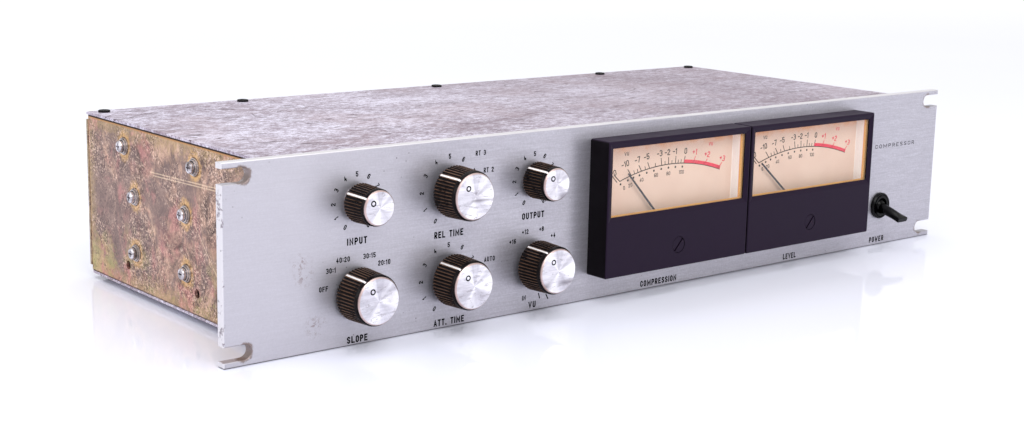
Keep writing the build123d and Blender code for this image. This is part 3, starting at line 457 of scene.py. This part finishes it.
def ink(name, colour, roughness=0.7):
    """Flat printing ink, paler by a shade in specks where it wears."""
    f = Finish(name, Specular_IOR_Level=0.02)
    wear = f.noise(500, 3.0, 0.6)
    wear_and_shade = [min(255, channel + 6) for channel in colour]
    f.set("Base Color", f.ramp(wear, (0.3, linear(*wear_and_shade)), (0.5, linear(*colour))))
    f.set("Roughness", roughness)
    return f.material


def clear_lens():
    """Clear plastic, slightly hazy and yellowed."""
    f = Finish("clear_lens", Roughness=0.06, Specular_IOR_Level=0.4)
    haze = f.noise(40, 2.0, 0.5)
    f.set("Base Color", f.ramp(haze, (0.3, linear(255, 250, 240)), (0.7, linear(250, 240, 228))))
    f.set("Alpha", f.ramp(haze, (0.3, 0.03), (0.7, 0.06)))
    return f.material


def show(material, *names):
    """Gives CAD nodes one material."""
    for name in names:
        node = nodes[name]
        node.data.materials.clear()
        node.data.materials.append(material)


def named(names, ending):
    """The names with an ending added."""
    return [name + ending for name in names]


def centres_of(name, reach):
    """Middle of each separate lump of a node; reach is larger than a lump and smaller than the gaps."""
    groups = []
    for vertex in nodes[name].data.vertices:
        for group in groups:
            if (vertex.co - group[0]).length < reach:
                group.append(vertex.co)
                break
        else:
            groups.append([vertex.co])
    return [(Vector(map(min, zip(*g))) + Vector(map(max, zip(*g)))) / 2 for g in groups]


panel_low, panel_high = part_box("front_panel")
PANEL_FACE = panel_low.y
SLOT_INSET, SLOT_RISE = 9.9 * MM, 5.95 * MM
slot_ends = [
    (side * (panel_high.x - SLOT_INSET), PANEL_FACE, height)
    for side in (-1, 1)
    for height in (SLOT_RISE, panel_high.z - SLOT_RISE)
]
SCUFFS_XZ = ((-201.8, 35.6), (-203.4, 41.0), (-195.8, 11.8))
scuffs = [Vector((x * MM, 0, z * MM)) for x, z in SCUFFS_XZ]
show(brushed_panel(panel_low, panel_high, slot_ends, scuffs), "front_panel")

plate_low, plate_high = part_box("left_side_plate")
SIDE_SCRATCHES = (
    ((0.1094, 0.0650), (0.0400, 0.0672), 0.75),
    ((0.1060, 0.0637), (0.0400, 0.0660), 0.65),
    ((0.0673, 0.0485), (0.0400, 0.0205), 0.95),
    ((0.1090, 0.0431), (0.1054, 0.0330), 0.8),
)
FASTENER_REACH = 10 * MM
zinc = plated_side(plate_low, plate_high, centres_of("side_flat_washers", FASTENER_REACH), SIDE_SCRATCHES)
show(zinc, "left_side_plate", "right_side_plate", "board_brackets")
rear_finish = mottled_cover(
    "plated_rear",
    linear(120, 100, 84),
    linear(168, 150, 122),
    linear(196, 182, 156),
)
show(rear_finish, "rear_panel")
cover_low, cover_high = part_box("top_cover")
cover_finish = mottled_cover(
    "plated_cover",
    linear(132, 114, 126),
    linear(178, 168, 184),
    linear(232, 228, 246),
    wear_and_shade=(cover_low.x * 0.6, cover_high.x * 0.2),
)
show(cover_finish, "top_cover", "bottom_cover")
screw_steel = plain_metal("screw_steel", (226, 222, 228), (112, 100, 100), 0.2)
show(screw_steel, "side_screws", "flange_screws", "board_screws", "terminal_screws")
washer_steel = plain_metal("washer_steel", (206, 200, 200), (120, 108, 104), 0.3)
show(washer_steel, "control_nuts", "control_washers", "meter_nuts")
for washers, inner in (("side_flat_washers", 3.7 * MM), ("side_lock_washers", 3.1 * MM)):
    show(seated_washer(washers + "_steel", centres_of(washers, FASTENER_REACH), inner), washers)
show(moulded("black_oxide", (9, 7, 9), (16, 13, 16), 0.4, 0.15), "cover_screws")
show(plain_metal("mill_aluminium", (200, 200, 202), (150, 148, 150), 0.4), "cross_rails")
show(plain_metal("shaft_steel", (190, 188, 186), (130, 126, 124)), *named(CONTROLS, "_shaft"))
plated_brass = plain_metal("plated_brass", (196, 176, 120), (140, 120, 78))
show(plated_brass, "potentiometers", "rotary_switches", "meter_movements")
meter_black = moulded("meter_black", (29, 17, 37), (37, 25, 44), 0.42, 0.1, shaded_flank=(6, 2, 6))
for ending in ("_meter_housing", "_meter_cover", "_zero_screw"):
    show(meter_black, *named(METERS, ending))
show(clear_lens(), "meter_lenses")
show(moulded("needle_paint", (14, 15, 42), (28, 29, 58), 0.5, 0.2), *named(METERS, "_needle"))
gloss_black = moulded("gloss_black", (3, 2, 4), (6, 5, 7), 0.16, 0.14)
show(gloss_black, "toggle_nut", "toggle_lever", "toggle_switch_body")
show(gloss_black, "terminal_strip", "mains_inlet", "fuse_holder")
show(moulded("board_laminate", (48, 92, 50), (60, 104, 58), 0.4), "circuit_board")
show(moulded("component_cases", (70, 80, 130), (92, 96, 140), 0.4), "board_parts", "filter_capacitors")
lacquer = moulded("transformer_lacquer", (36, 36, 38), (54, 50, 50), 0.4)
show(lacquer, "power_transformer", "audio_transformers")
meter_centre = {meter: joint_at[meter + "_pointer"].x for meter in METERS}
show(paper(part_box("meter_scale_cards"), [meter_centre[meter] for meter in METERS]), "meter_scale_cards")
for control in CONTROLS:
    show(spun_cap(control + "_cap_metal", joint_at[control + "_control"]), control + "_knob_cap")


# ---- printing -----------------------------------------------------------------------------------

# Condensed block capitals and figures as strokes in a box one unit high. S is the width, C the corner cut.
S, C = 0.42, 0.15
ROUND = [(C, 0), (S - C, 0), (S, C), (S, 1 - C), (S - C, 1), (C, 1), (0, 1 - C), (0, C), (C, 0)]
SIX = [(S, 0.88), (S - 0.04, 0.94), (S - C, 1), (C, 1), (0, 1 - C), (0, C), (C, 0), (S - C, 0), (S, C),
       (S, 0.45), (S - C, 0.58), (C, 0.58), (0, 0.46)]
BOWL = [(0, 0), (0, 1), (S - C, 1), (S, 1 - C), (S, 0.58), (S - C, 0.44), (0, 0.44)]
STROKES = {
    "0": [ROUND], "O": [ROUND],
    "1": [[(0, 0.8), (0.16, 1), (0.16, 0)]],
    "2": [[(0, 0.78), (0, 1 - C), (C, 1), (S - C, 1), (S, 1 - C), (S, 0.64), (0, 0.14), (0, 0), (S, 0)]],
    "3": [[(0, 0.92), (0.1, 1), (S - C, 1), (S, 1 - C), (S, 0.62), (S - C, 0.52), (S, 0.42), (S, C),
           (S - C, 0), (0.1, 0), (0, 0.08)], [(S - C, 0.52), (0.2, 0.52)]],
    "4": [[(0.3, 0), (0.3, 1), (0, 0.3), (0.44, 0.3)]],
    "5": [[(S, 1), (0, 1), (0, 0.55), (S - C, 0.6), (S, 0.6 - C), (S, C), (S - C, 0), (C, 0), (0, C),
           (0, 0.18)]],
    "6": [SIX], "9": [[(S - x, 1 - y) for x, y in SIX]],
    "7": [[(0, 1), (S, 1), (0.14, 0)]],
    "8": [[(C, 0.53), (S - C, 0.53), (S, 0.64), (S, 1 - C), (S - C, 1), (C, 1), (0, 1 - C), (0, 0.64),
           (C, 0.53)],
          [(C, 0), (S - C, 0), (S, C), (S, 0.42), (S - C, 0.53), (C, 0.53), (0, 0.42), (0, C), (C, 0)]],
    "A": [[(0, 0), (0.24, 1), (0.48, 0)], [(0.08, 0.28), (0.40, 0.28)]],
    "C": [[(S, 0.72), (S, 1 - C), (S - C, 1), (C, 1), (0, 1 - C), (0, C), (C, 0), (S - C, 0), (S, C),
           (S, 0.28)]],
    "E": [[(S, 1), (0, 1), (0, 0), (S, 0)], [(0, 0.52), (0.34, 0.52)]],
    "F": [[(S, 1), (0, 1), (0, 0)], [(0, 0.52), (0.34, 0.52)]],
    "I": [[(0, 0), (0, 1)]],
    "L": [[(0, 1), (0, 0), (S, 0)]],
    "M": [[(0, 0), (0, 1), (0.34, 0.2), (0.68, 1), (0.68, 0)]],
    "N": [[(0, 0), (0, 1), (0.5, 0), (0.5, 1)]],
    "P": [BOWL], "R": [BOWL, [(0.2, 0.44), (S, 0)]],
    "S": [[(S, 0.86), (S - C, 1), (C, 1), (0, 1 - C), (0, 0.64), (S, 0.38), (S, C), (S - C, 0), (C, 0),
           (0, 0.14)]],
    "T": [[(0, 1), (S, 1)], [(S / 2, 1), (S / 2, 0)]],
    "U": [[(0, 1), (0, C), (C, 0), (S - C, 0), (S, C), (S, 1)]],
    "V": [[(0, 1), (0.26, 0), (0.52, 1)]],
    "W": [[(0, 1), (0.17, 0), (0.34, 0.75), (0.51, 0), (0.68, 1)]],
    "+": [[(0, 0.46), (0.4, 0.46)], [(0.2, 0.22), (0.2, 0.70)]],
    "-": [[(0, 0.46), (0.3, 0.46)]],
    ".": [[(0, -0.02), (0, 0.03)]],
    ":": [[(0, 0.22), (0, 0.27)], [(0, 0.70), (0, 0.75)]],
    " ": [],
}
SPACE_WIDTH = 0.26
# a mitred corner reaches at most half the width divided by this
MITRE_LIMIT = 0.45


def skin(mesh, rings):
    """Faces from each ring of vertices to the next."""
    for first, second in zip(rings, rings[1:]):
        for k in range(len(first)):
            following = (k + 1) % len(first)
            mesh.faces.new((first[k], first[following], second[following], second[k]))


class Print:
    """Flat printed marks in a plane facing the user, gathered into one thin mesh. Sizes in millimetres."""

    def __init__(self, y, thickness=0.04):
        self.mesh = bmesh.new()
        self.y, self.thickness = y, thickness

    def shape(self, points):
        """One flat mark, as thick as the print."""
        rings = [
            [self.mesh.verts.new((x * MM, y, z * MM)) for x, z in points]
            for y in (self.y, self.y - self.thickness * MM)
        ]
        skin(self.mesh, rings)
        for ring in rings:
            self.mesh.faces.new(ring)

    def ribbon(self, points, width, overrun=0.0):
        """A line of constant width with mitred corners; open ends run over by the given length."""
        path = [Vector(p) for p in points]
        closed = (path[0] - path[-1]).length < 1e-6
        if closed:
            path.pop()
        else:
            path[0] = path[0] + (path[0] - path[1]).normalized() * overrun
            path[-1] = path[-1] + (path[-1] - path[-2]).normalized() * overrun
        count = len(path)
        sides = []
        for k, point in enumerate(path):
            steps = []
            if closed or k > 0:
                steps.append((point - path[k - 1]).normalized())
            if closed or k < count - 1:
                steps.append((path[(k + 1) % count] - point).normalized())
            across = sum((Vector((-s.y, s.x)) for s in steps), Vector((0, 0))).normalized()
            reach = width / 2 / max(MITRE_LIMIT, across.dot(Vector((-steps[0].y, steps[0].x))))
            sides.append((point + across * reach, point - across * reach))
        if closed:
            sides.append(sides[0])
        for (a, b), (c, d) in zip(sides, sides[1:]):
            self.shape([a, b, d, c])

    def arc(self, centre, radius, first, last, width, steps=48):
        """Band between two angles in degrees, clockwise from straight up."""
        turns = [first + (last - first) * k / steps for k in range(steps + 1)]
        self.ribbon([polar(centre, radius, turn) for turn in turns], width)

    def dot(self, x, z, radius, sides=14):
        """Filled circle."""
        corners = [2 * math.pi * k / sides for k in range(sides)]
        self.shape([(x + radius * math.cos(turn), z + radius * math.sin(turn)) for turn in corners])

    def text(self, text, x, z, height, width=None, weight=0.24, gap=0.2, widen=1.0, turn=0.0):
        """Text centred at (x, z) and turned clockwise.

        Height and width are over the ink. Weight, the stroke's thickness, is a share of the height.
        """
        tall = height / (1 + weight)
        placed, cursor = [], 0.0
        for letter in text:
            strokes = STROKES[letter]
            placed += [[(cursor + u * widen, v) for u, v in stroke] for stroke in strokes]
            reach = max((u for stroke in strokes for u, v in stroke), default=SPACE_WIDTH)
            cursor += reach * widen + gap + weight
        length = cursor - gap - weight
        stretch = (width - weight * tall) / length if width else tall
        c, s = math.cos(math.radians(turn)), math.sin(math.radians(turn))
        for stroke in placed:
            points = []
            for u, v in stroke:
                u, v = (u - length / 2) * stretch, (v - 0.5) * tall
                points.append((x + u * c + v * s, z - u * s + v * c))
            self.ribbon(points, weight * tall, weight * tall / 2)


def piece(name, mesh, material, body):
    """Turns a bmesh into a shown piece that rides on a body."""
    bmesh.ops.recalc_face_normals(mesh, faces=mesh.faces[:])
    data = bpy.data.meshes.new(name)
    mesh.to_mesh(data)
    mesh.free()
    obj = bpy.data.objects.new(name, data)
    bpy.context.scene.collection.objects.link(obj)
    data.materials.append(material)
    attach(obj, body)


def polar(centre, radius, degrees):
    """Point at an angle clockwise from straight up."""
    turn = math.radians(degrees)
    return centre[0] + radius * math.sin(turn), centre[1] + radius * math.cos(turn)


def dial(control):
    """Middle of a control on the panel, in millimetres."""
    at = joint_at[control + "_control"]
    return at.x / MM, at.z / MM


PRINT_SUNK = 0.01 * MM
LABEL_HEIGHT, LABEL_WEIGHT, SMALL_HEIGHT = 3.2, 0.26, 2.4
NUMERAL_RADIUS = {"input": 12.4, "release": 15.7, "attack": 15.7, "output": 12.4}
NUMERAL_COUNT, ZERO_TURN, NUMERAL_STEP = 11, -150, 30
legend = Print(PANEL_FACE + PRINT_SUNK)
for control, radius in NUMERAL_RADIUS.items():
    for number in range(NUMERAL_COUNT):
        turn = NUMERAL_STEP * number + ZERO_TURN
        legend.text(str(number), *polar(dial(control), radius, turn), SMALL_HEIGHT, turn=turn)
# text, X, Z and width
for text, x, z, width in (
    ("INPUT", -174.3, 47.3, 10.6), ("SLOPE", -174.1, 2.6, 11.0), ("REL TIME", -123.6, 44.5, 16.7),
    ("ATT. TIME", -122.9, 2.8, 17.7), ("OUTPUT", -73.0, 47.4, 13.8), ("VU", -72.4, 3.1, 4.6),
    ("COMPRESSION", 13.2, 3.0, 26.0), ("LEVEL", 115.1, 3.1, 10.7), ("POWER", 191.6, 3.3, 13.1),
):
    legend.text(text, x, z, LABEL_HEIGHT, width, weight=LABEL_WEIGHT)
# text, X and Z
for text, x, z in (
    ("OFF", -191.8, 27.8), ("30:1", -188.0, 35.6), ("40:20", -181.7, 39.7), ("30:15", -167.7, 39.8),
    ("20:10", -159.7, 35.7), ("RT 3", -105.7, 80.6), ("RT 2", -100.8, 72.2), ("AUTO", -99.4, 29.4),
    ("+16", -85.4, 35.9), ("+12", -77.7, 39.75), ("+8", -67.5, 40.05), ("+4", -60.0, 36.0),
    ("IN", -77.6, 7.1),
):
    legend.text(text, x, z, SMALL_HEIGHT)
# two plain strokes on the meter dial: turn, inner and outer radius
DIAL_STROKES = ((164, 15.8, 18.8), (151, 18.8, 21.8))
DIAL_STROKE_WIDTH = 0.6
for turn, inner, outer in DIAL_STROKES:
    ends = [polar(dial("meter_select"), radius, turn) for radius in (inner, outer)]
    legend.ribbon(ends, DIAL_STROKE_WIDTH)
TITLE_X, TITLE_Z, TITLE_HEIGHT, TITLE_WIDTH = 203.2, 58.4, 2.2, 36.0
TITLE_STYLE = {"weight": 0.16, "gap": 0.5, "widen": 1.6}
legend.text("COMPRESSOR", TITLE_X, TITLE_Z, TITLE_HEIGHT, TITLE_WIDTH, **TITLE_STYLE)
legend_ink = ink("legend_ink", (2, 1, 3), 0.9)
piece("panel_lettering", legend.mesh, legend_ink, "chassis")

# Scale card: tops of the long ticks and middles of their figures, from the meter's centre line.
TICK_TOPS = {
    "-20": (-38.3, 62.4), "-10": (-29.8, 65.1), "-7": (-22.2, 66.5), "-5": (-16.1, 67.4),
    "-3": (-6.8, 68.8), "-2": (-1.5, 68.7), "-1": (3.8, 68.9), "0": (10.5, 68.3),
    "+1": (18.0, 67.6), "+2": (26.9, 65.4), "+3": (38.1, 62.5),
}
NUMERALS = {
    "-20": (-40.4, 63.6), "-10": (-31.6, 67.9), "-7": (-23.2, 69.3), "-5": (-17.0, 70.3),
    "-3": (-7.9, 71.2), "-2": (-2.4, 71.3), "-1": (2.9, 71.4), "0": (10.8, 70.9),
    "+1": (17.4, 69.9), "+2": (26.7, 67.9), "+3": (38.2, 64.8),
}
PERCENT = {
    "0": (-31.8, 55.9), "20": (-27.6, 56.9), "40": (-20.0, 58.8), "60": (-9.9, 60.3),
    "80": (-1.2, 60.3), "100": (8.2, 60.2),
}
DOTS = (
    (-34.3, 58.0), (-29.4, 59.5), (-25.6, 60.5), (-21.5, 61.3), (-16.5, 62.1),
    (-11.5, 62.7), (-6.4, 63.1), (-1.3, 63.3), (3.7, 63.2), (8.7, 62.9),
)
# two figures and how many short ticks stand between them
MINOR_TICKS = (
    ("-10", "-7", 2), ("-7", "-5", 1), ("-5", "-3", 1), ("-3", "-2", 1), ("-2", "-1", 1), ("-1", "0", 2),
)
ARC_CENTRE, ARC_RADIUS = -46.7, 111.8
ARC_LEFT, ARC_RIGHT, RED_LEFT = -34.9, 36.5, 9.8
# a tick's foot stands nearer the centre line than its top by this share, then a little to the right
TICK_FOOT, TICK_SHIFT = 0.913, 0.1
MINOR_RISE, MINOR_SPREAD = 1.9, 1.03
SCALE_LINE, MINOR_LINE, DOT_RADIUS = 0.46, 0.38, 0.58
RED_BAND, RED_LIFT, RED_THICKNESS = 1.7, 1.0, 0.05
# the two slanted strokes at the arc's left end: their shifts, drop as a share of a shift, run and rise
STROKE_SHIFTS, STROKE_DROP, STROKE_RUN, STROKE_RISE = (0.0, -1.8), 0.2, 3.7, 3.3
FIGURE_HEIGHT, FIGURE_WEIGHT = 3.1, 0.19
PERCENT_HEIGHT, PERCENT_WEIGHT = 2.0, 0.17
FIGURE_GAP, FIGURE_WIDEN, FIGURE_LEAN = 0.16, 1.25, 0.8
UNIT_LEFT, UNIT_RIGHT, UNIT_Z = -30.8, 29.0, 73.0
UNIT_HEIGHT, UNIT_WEIGHT, UNIT_WIDEN = 1.9, 0.2, 1.4
CARD_WALL = 0.8 * MM
CARD_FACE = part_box("meter_scale_cards")[1].y - CARD_WALL
print_black = ink("card_black", (4, 2, 4), 0.9)
print_red = ink("card_red", (226, 58, 84))


def on_arc(x, lift=0.0):
    """Point on the scale's arc, or so far above it."""
    return x, ARC_CENTRE + math.sqrt(ARC_RADIUS ** 2 - x ** 2) + lift


def arc_angle(x):
    """Turn of the arc at x, clockwise from straight up."""
    return math.degrees(math.asin(x / ARC_RADIUS))


def card_line(sheet, x0, start, end, width):
    """Straight line on a card whose centre line is at x0."""
    sheet.ribbon([(x0 + start[0], start[1]), (x0 + end[0], end[1])], width)


def card_figure(sheet, x0, text, place, height, weight):
    """Figure that leans with the arc."""
    x, z = place
    lean = arc_angle(x) * FIGURE_LEAN
    sheet.text(text, x0 + x, z, height, weight=weight, gap=FIGURE_GAP, widen=FIGURE_WIDEN, turn=lean)


for meter in METERS:
    x0 = meter_centre[meter] / MM
    black = Print(CARD_FACE + PRINT_SUNK)
    red = Print(CARD_FACE + PRINT_SUNK, RED_THICKNESS)
    arc_end = arc_angle(ARC_RIGHT)
    black.arc((x0, ARC_CENTRE), ARC_RADIUS, arc_angle(ARC_LEFT), arc_end, SCALE_LINE)
    red.arc((x0, ARC_CENTRE), ARC_RADIUS + RED_LIFT, arc_angle(RED_LEFT), arc_end, RED_BAND)
    for text, top in TICK_TOPS.items():
        sheet = red if text[0] == "+" else black
        card_line(sheet, x0, on_arc(top[0] * TICK_FOOT + TICK_SHIFT), top, SCALE_LINE)
        card_figure(sheet, x0, text, NUMERALS[text], FIGURE_HEIGHT, FIGURE_WEIGHT)
    for first, second, count in MINOR_TICKS:
        left = TICK_TOPS[first][0] * TICK_FOOT
        right = TICK_TOPS[second][0] * TICK_FOOT
        for k in range(1, count + 1):
            x = left + (right - left) * k / (count + 1)
            top = (x * MINOR_SPREAD, on_arc(x, MINOR_RISE)[1])
            card_line(black, x0, on_arc(x), top, MINOR_LINE)
    for shift in STROKE_SHIFTS:
        foot = (ARC_LEFT + shift, on_arc(ARC_LEFT)[1] + shift * STROKE_DROP)
        top = (ARC_LEFT + shift - STROKE_RUN, on_arc(ARC_LEFT, STROKE_RISE)[1])
        card_line(black, x0, foot, top, SCALE_LINE)
    for text, place in PERCENT.items():
        card_figure(black, x0, text, place, PERCENT_HEIGHT, PERCENT_WEIGHT)
    for x, z in DOTS:
        black.dot(x0 + x, z, DOT_RADIUS)
    for sheet, x in ((black, UNIT_LEFT), (red, UNIT_RIGHT)):
        sheet.text("VU", x0 + x, UNIT_Z, UNIT_HEIGHT, weight=UNIT_WEIGHT, widen=UNIT_WIDEN)
    piece(meter + "_card_print", black.mesh, print_black, "chassis")
    piece(meter + "_card_red_print", red.mesh, print_red, "chassis")


# ---- yellowed edge of the scale tray, seen through the rim of the lens ----------------------------

LENS_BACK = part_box("meter_lenses")[1].y
LENS_GAP = 0.04 * MM
# the rest in millimetres, as Print takes them
EDGE_THICKNESS = 0.1
EDGE_OUTER, EDGE_LEFT, EDGE_RIGHT = 48.4, -45.5, 45.9
EDGE_BOTTOM, EDGE_TOP, EDGE_INNER_BOTTOM, EDGE_INNER_TOP = 42.4, 78.9, 44.2, 77.6
amber = moulded("amber_edge", (238, 178, 100), (206, 132, 62), 0.5, 0.2)
for meter in METERS:
    x0 = meter_centre[meter] / MM
    rim = Print(LENS_BACK + LENS_GAP + EDGE_THICKNESS * MM, EDGE_THICKNESS)
    for left, right, bottom, top in (
        (-EDGE_OUTER, EDGE_LEFT, EDGE_BOTTOM, EDGE_TOP),
        (EDGE_RIGHT, EDGE_OUTER, EDGE_BOTTOM, EDGE_TOP),
        (EDGE_LEFT, EDGE_RIGHT, EDGE_BOTTOM, EDGE_INNER_BOTTOM),
        (EDGE_LEFT, EDGE_RIGHT, EDGE_INNER_TOP, EDGE_TOP),
    ):
        rim.shape([(x0 + left, bottom), (x0 + right, bottom), (x0 + right, top), (x0 + left, top)])
    piece(meter + "_tray_edge", rim.mesh, amber, "chassis")


# ---- knobs: pointer lines and cap marks ---------------------------------------------------------

LINE_WIDTH, LINE_PROUD, LINE_SUNK = 0.9 * MM, 0.03 * MM, 0.06 * MM
LINE_START, SHOULDER, SHOULDER_CUT = 0.9 * MM, 0.9 * MM, 0.5 * MM
FRONT_ZONE = 1.1 * SHOULDER
MARK_INNER, MARK_OUTER, MARK_DEPTH, MARK_STEPS = 0.76 * MM, 1.39 * MM, 0.1 * MM, 28
MARK_TURNS = [2 * math.pi * k / MARK_STEPS for k in range(MARK_STEPS)]
# how far behind the cap's front the bottom of its ring groove lies, at least and at most
GROOVE_LEAST, GROOVE_MOST = 0.05 * MM, 0.3 * MM
line_paint = ink("pointer_white", (236, 232, 232), 0.35)


for control in CONTROLS:
    low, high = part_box(control + "_knob")
    cap_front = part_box(control + "_knob_cap")[0].y
    centre = joint_at[control + "_control"]
    base_radius = (high.x - low.x) / 2
    front_radius = max(
        (Vector((v.co.x, v.co.z)) - Vector((centre.x, centre.z))).length
        for v in nodes[control + "_knob"].data.vertices
        if v.co.y < low.y + FRONT_ZONE
    )
    plastic = fluted_plastic(control + "_plastic", centre, base_radius, front_radius, low, high)
    show(plastic, control + "_knob")

    cap_points = [v.co for v in nodes[control + "_knob_cap"].data.vertices]
    groove = [co for co in cap_points if GROOVE_LEAST < co.y - cap_front < GROOVE_MOST]
    mark = sum(groove, Vector()) / len(groove)
    outward = Vector((mark.x - centre.x, 0, mark.z - centre.z)).normalized()
    sideways = Vector((outward.z, 0, -outward.x))

    profile = (
        (base_radius, high.y - LINE_START),
        (front_radius, low.y + SHOULDER),
        (front_radius - SHOULDER_CUT, low.y),
    )
    mesh = bmesh.new()
    rings = []
    for radius, y in profile:
        ring = []
        axis_point = Vector((centre.x, y, centre.z))
        for depth, side in ((LINE_PROUD, -1), (LINE_PROUD, 1), (-LINE_SUNK, 1), (-LINE_SUNK, -1)):
            at = axis_point + outward * (radius + depth) + sideways * side * LINE_WIDTH / 2
            ring.append(mesh.verts.new(at))
        rings.append(ring)
    skin(mesh, rings)
    mesh.faces.new(rings[0])
    mesh.faces.new(rings[-1])
    piece(control + "_pointer_line", mesh, line_paint, control + "_control")

    mesh = bmesh.new()
    rings = []
    for radius, y in (
        (MARK_INNER, mark.y),
        (MARK_OUTER, mark.y),
        (MARK_OUTER, mark.y - MARK_DEPTH),
        (MARK_INNER, mark.y - MARK_DEPTH),
    ):
        rings.append([
            mesh.verts.new((mark.x + radius * math.cos(turn), y, mark.z + radius * math.sin(turn)))
            for turn in MARK_TURNS
        ])
    skin(mesh, rings + rings[:1])
    piece(control + "_cap_mark", mesh, legend_ink, control + "_control")


# ---- floor, light and camera --------------------------------------------------------------------

FLOOR_REACH, FLOOR_GAP = 12, 0.0001
FLOOR_CORNERS = [(x * FLOOR_REACH, y * FLOOR_REACH, 0) for x, y in ((-1, -1), (1, -1), (1, 1), (-1, 1))]
GLOW_START, GLOW_FULL = 0.2, 2.2
WORLD_STRENGTH = 0.75
floor_data = bpy.data.meshes.new("floor")
floor_data.from_pydata(FLOOR_CORNERS, [], [(0, 1, 2, 3)])
floor = bpy.data.objects.new("floor", floor_data)
bpy.context.scene.collection.objects.link(floor)
floor.location.z = cad_low.z - FLOOR_GAP
floor_finish = Finish("floor_acrylic", Roughness=0.06, Specular_IOR_Level=0.5, Emission_Strength=0.3)
cloud = floor_finish.noise(2, 2.0)
floor_white = floor_finish.ramp(cloud, (0.3, linear(236, 238, 252)), (0.7, linear(239, 241, 253)))
floor_finish.set("Base Color", floor_white)
# the floor glows more with distance from the object, until it is white as the background
away = floor_finish.distance((0.0, 0.1, 0.0), (0.7, 1, 0))
glow = floor_finish.ramp(floor_finish.mask(away, GLOW_START, GLOW_FULL), (0.0, 0.0), (1.0, 1.0))
floor_finish.set("Emission Color", glow)
floor_data.materials.append(floor_finish.material)

scene = bpy.context.scene
scene.view_settings.view_transform = "Standard"
scene.view_settings.look = "None"
world = bpy.data.worlds.new("studio")
scene.world = world
world.use_nodes = True
background = world.node_tree.nodes["Background"]
background.inputs["Color"].default_value = (1.0, 1.0, 1.0, 1.0)
background.inputs["Strength"].default_value = WORLD_STRENGTH


def softbox(name, place, target, size, power):
    """Rectangular lamp at a place, aimed at the target."""
    light = bpy.data.lights.new(name, "AREA")
    light.shape = "RECTANGLE"
    light.size, light.size_y = size
    light.energy = power
    obj = bpy.data.objects.new(name, light)
    scene.collection.objects.link(obj)
    obj.location = place
    obj.rotation_euler = (target - Vector(place)).to_track_quat("-Z", "Y").to_euler()


# name, place, width and height, power in watts
SOFTBOXES = (
    ("key_softbox", (-0.6, -1.6, 1.7), (1.6, 1.2), 26),
    ("top_softbox", (0.2, 0.3, 2.0), (2.0, 2.0), 20),
    ("left_softbox", (-2.0, 0.2, 0.9), (1.2, 1.2), 13),
    ("right_softbox", (1.5, -1.7, 0.7), (0.5, 1.4), 4),
)
middle = (cad_low + cad_high) / 2
for name, place, size, power in SOFTBOXES:
    softbox(name, place, middle, size, power)

CAMERA_PLACE = (-0.5635, -0.58266, 0.2021)
SENSOR_WIDTH, FOCAL_LENGTH = 36.0, 56.7
CLIP_NEAR, CLIP_FAR = 0.05, 60
AZIMUTH, ELEVATION, ROLL = math.radians(39.555), math.radians(11.493), math.radians(1.247)
camera_data = bpy.data.cameras.new("camera")
camera = bpy.data.objects.new("camera", camera_data)
scene.collection.objects.link(camera)
scene.camera = camera
camera_data.sensor_width = SENSOR_WIDTH
camera_data.lens = FOCAL_LENGTH
camera_data.clip_start = CLIP_NEAR
camera_data.clip_end = CLIP_FAR
level = math.cos(ELEVATION)
forward = Vector((math.sin(AZIMUTH) * level, math.cos(AZIMUTH) * level, -math.sin(ELEVATION)))
level_right = forward.cross(Vector((0, 0, 1))).normalized()
right = Matrix.Rotation(-ROLL, 3, forward) @ level_right
up = right.cross(forward)
camera_turn = Matrix((right, up, -forward)).transposed().to_4x4()
camera.matrix_world = Matrix.Translation(CAMERA_PLACE) @ camera_turn
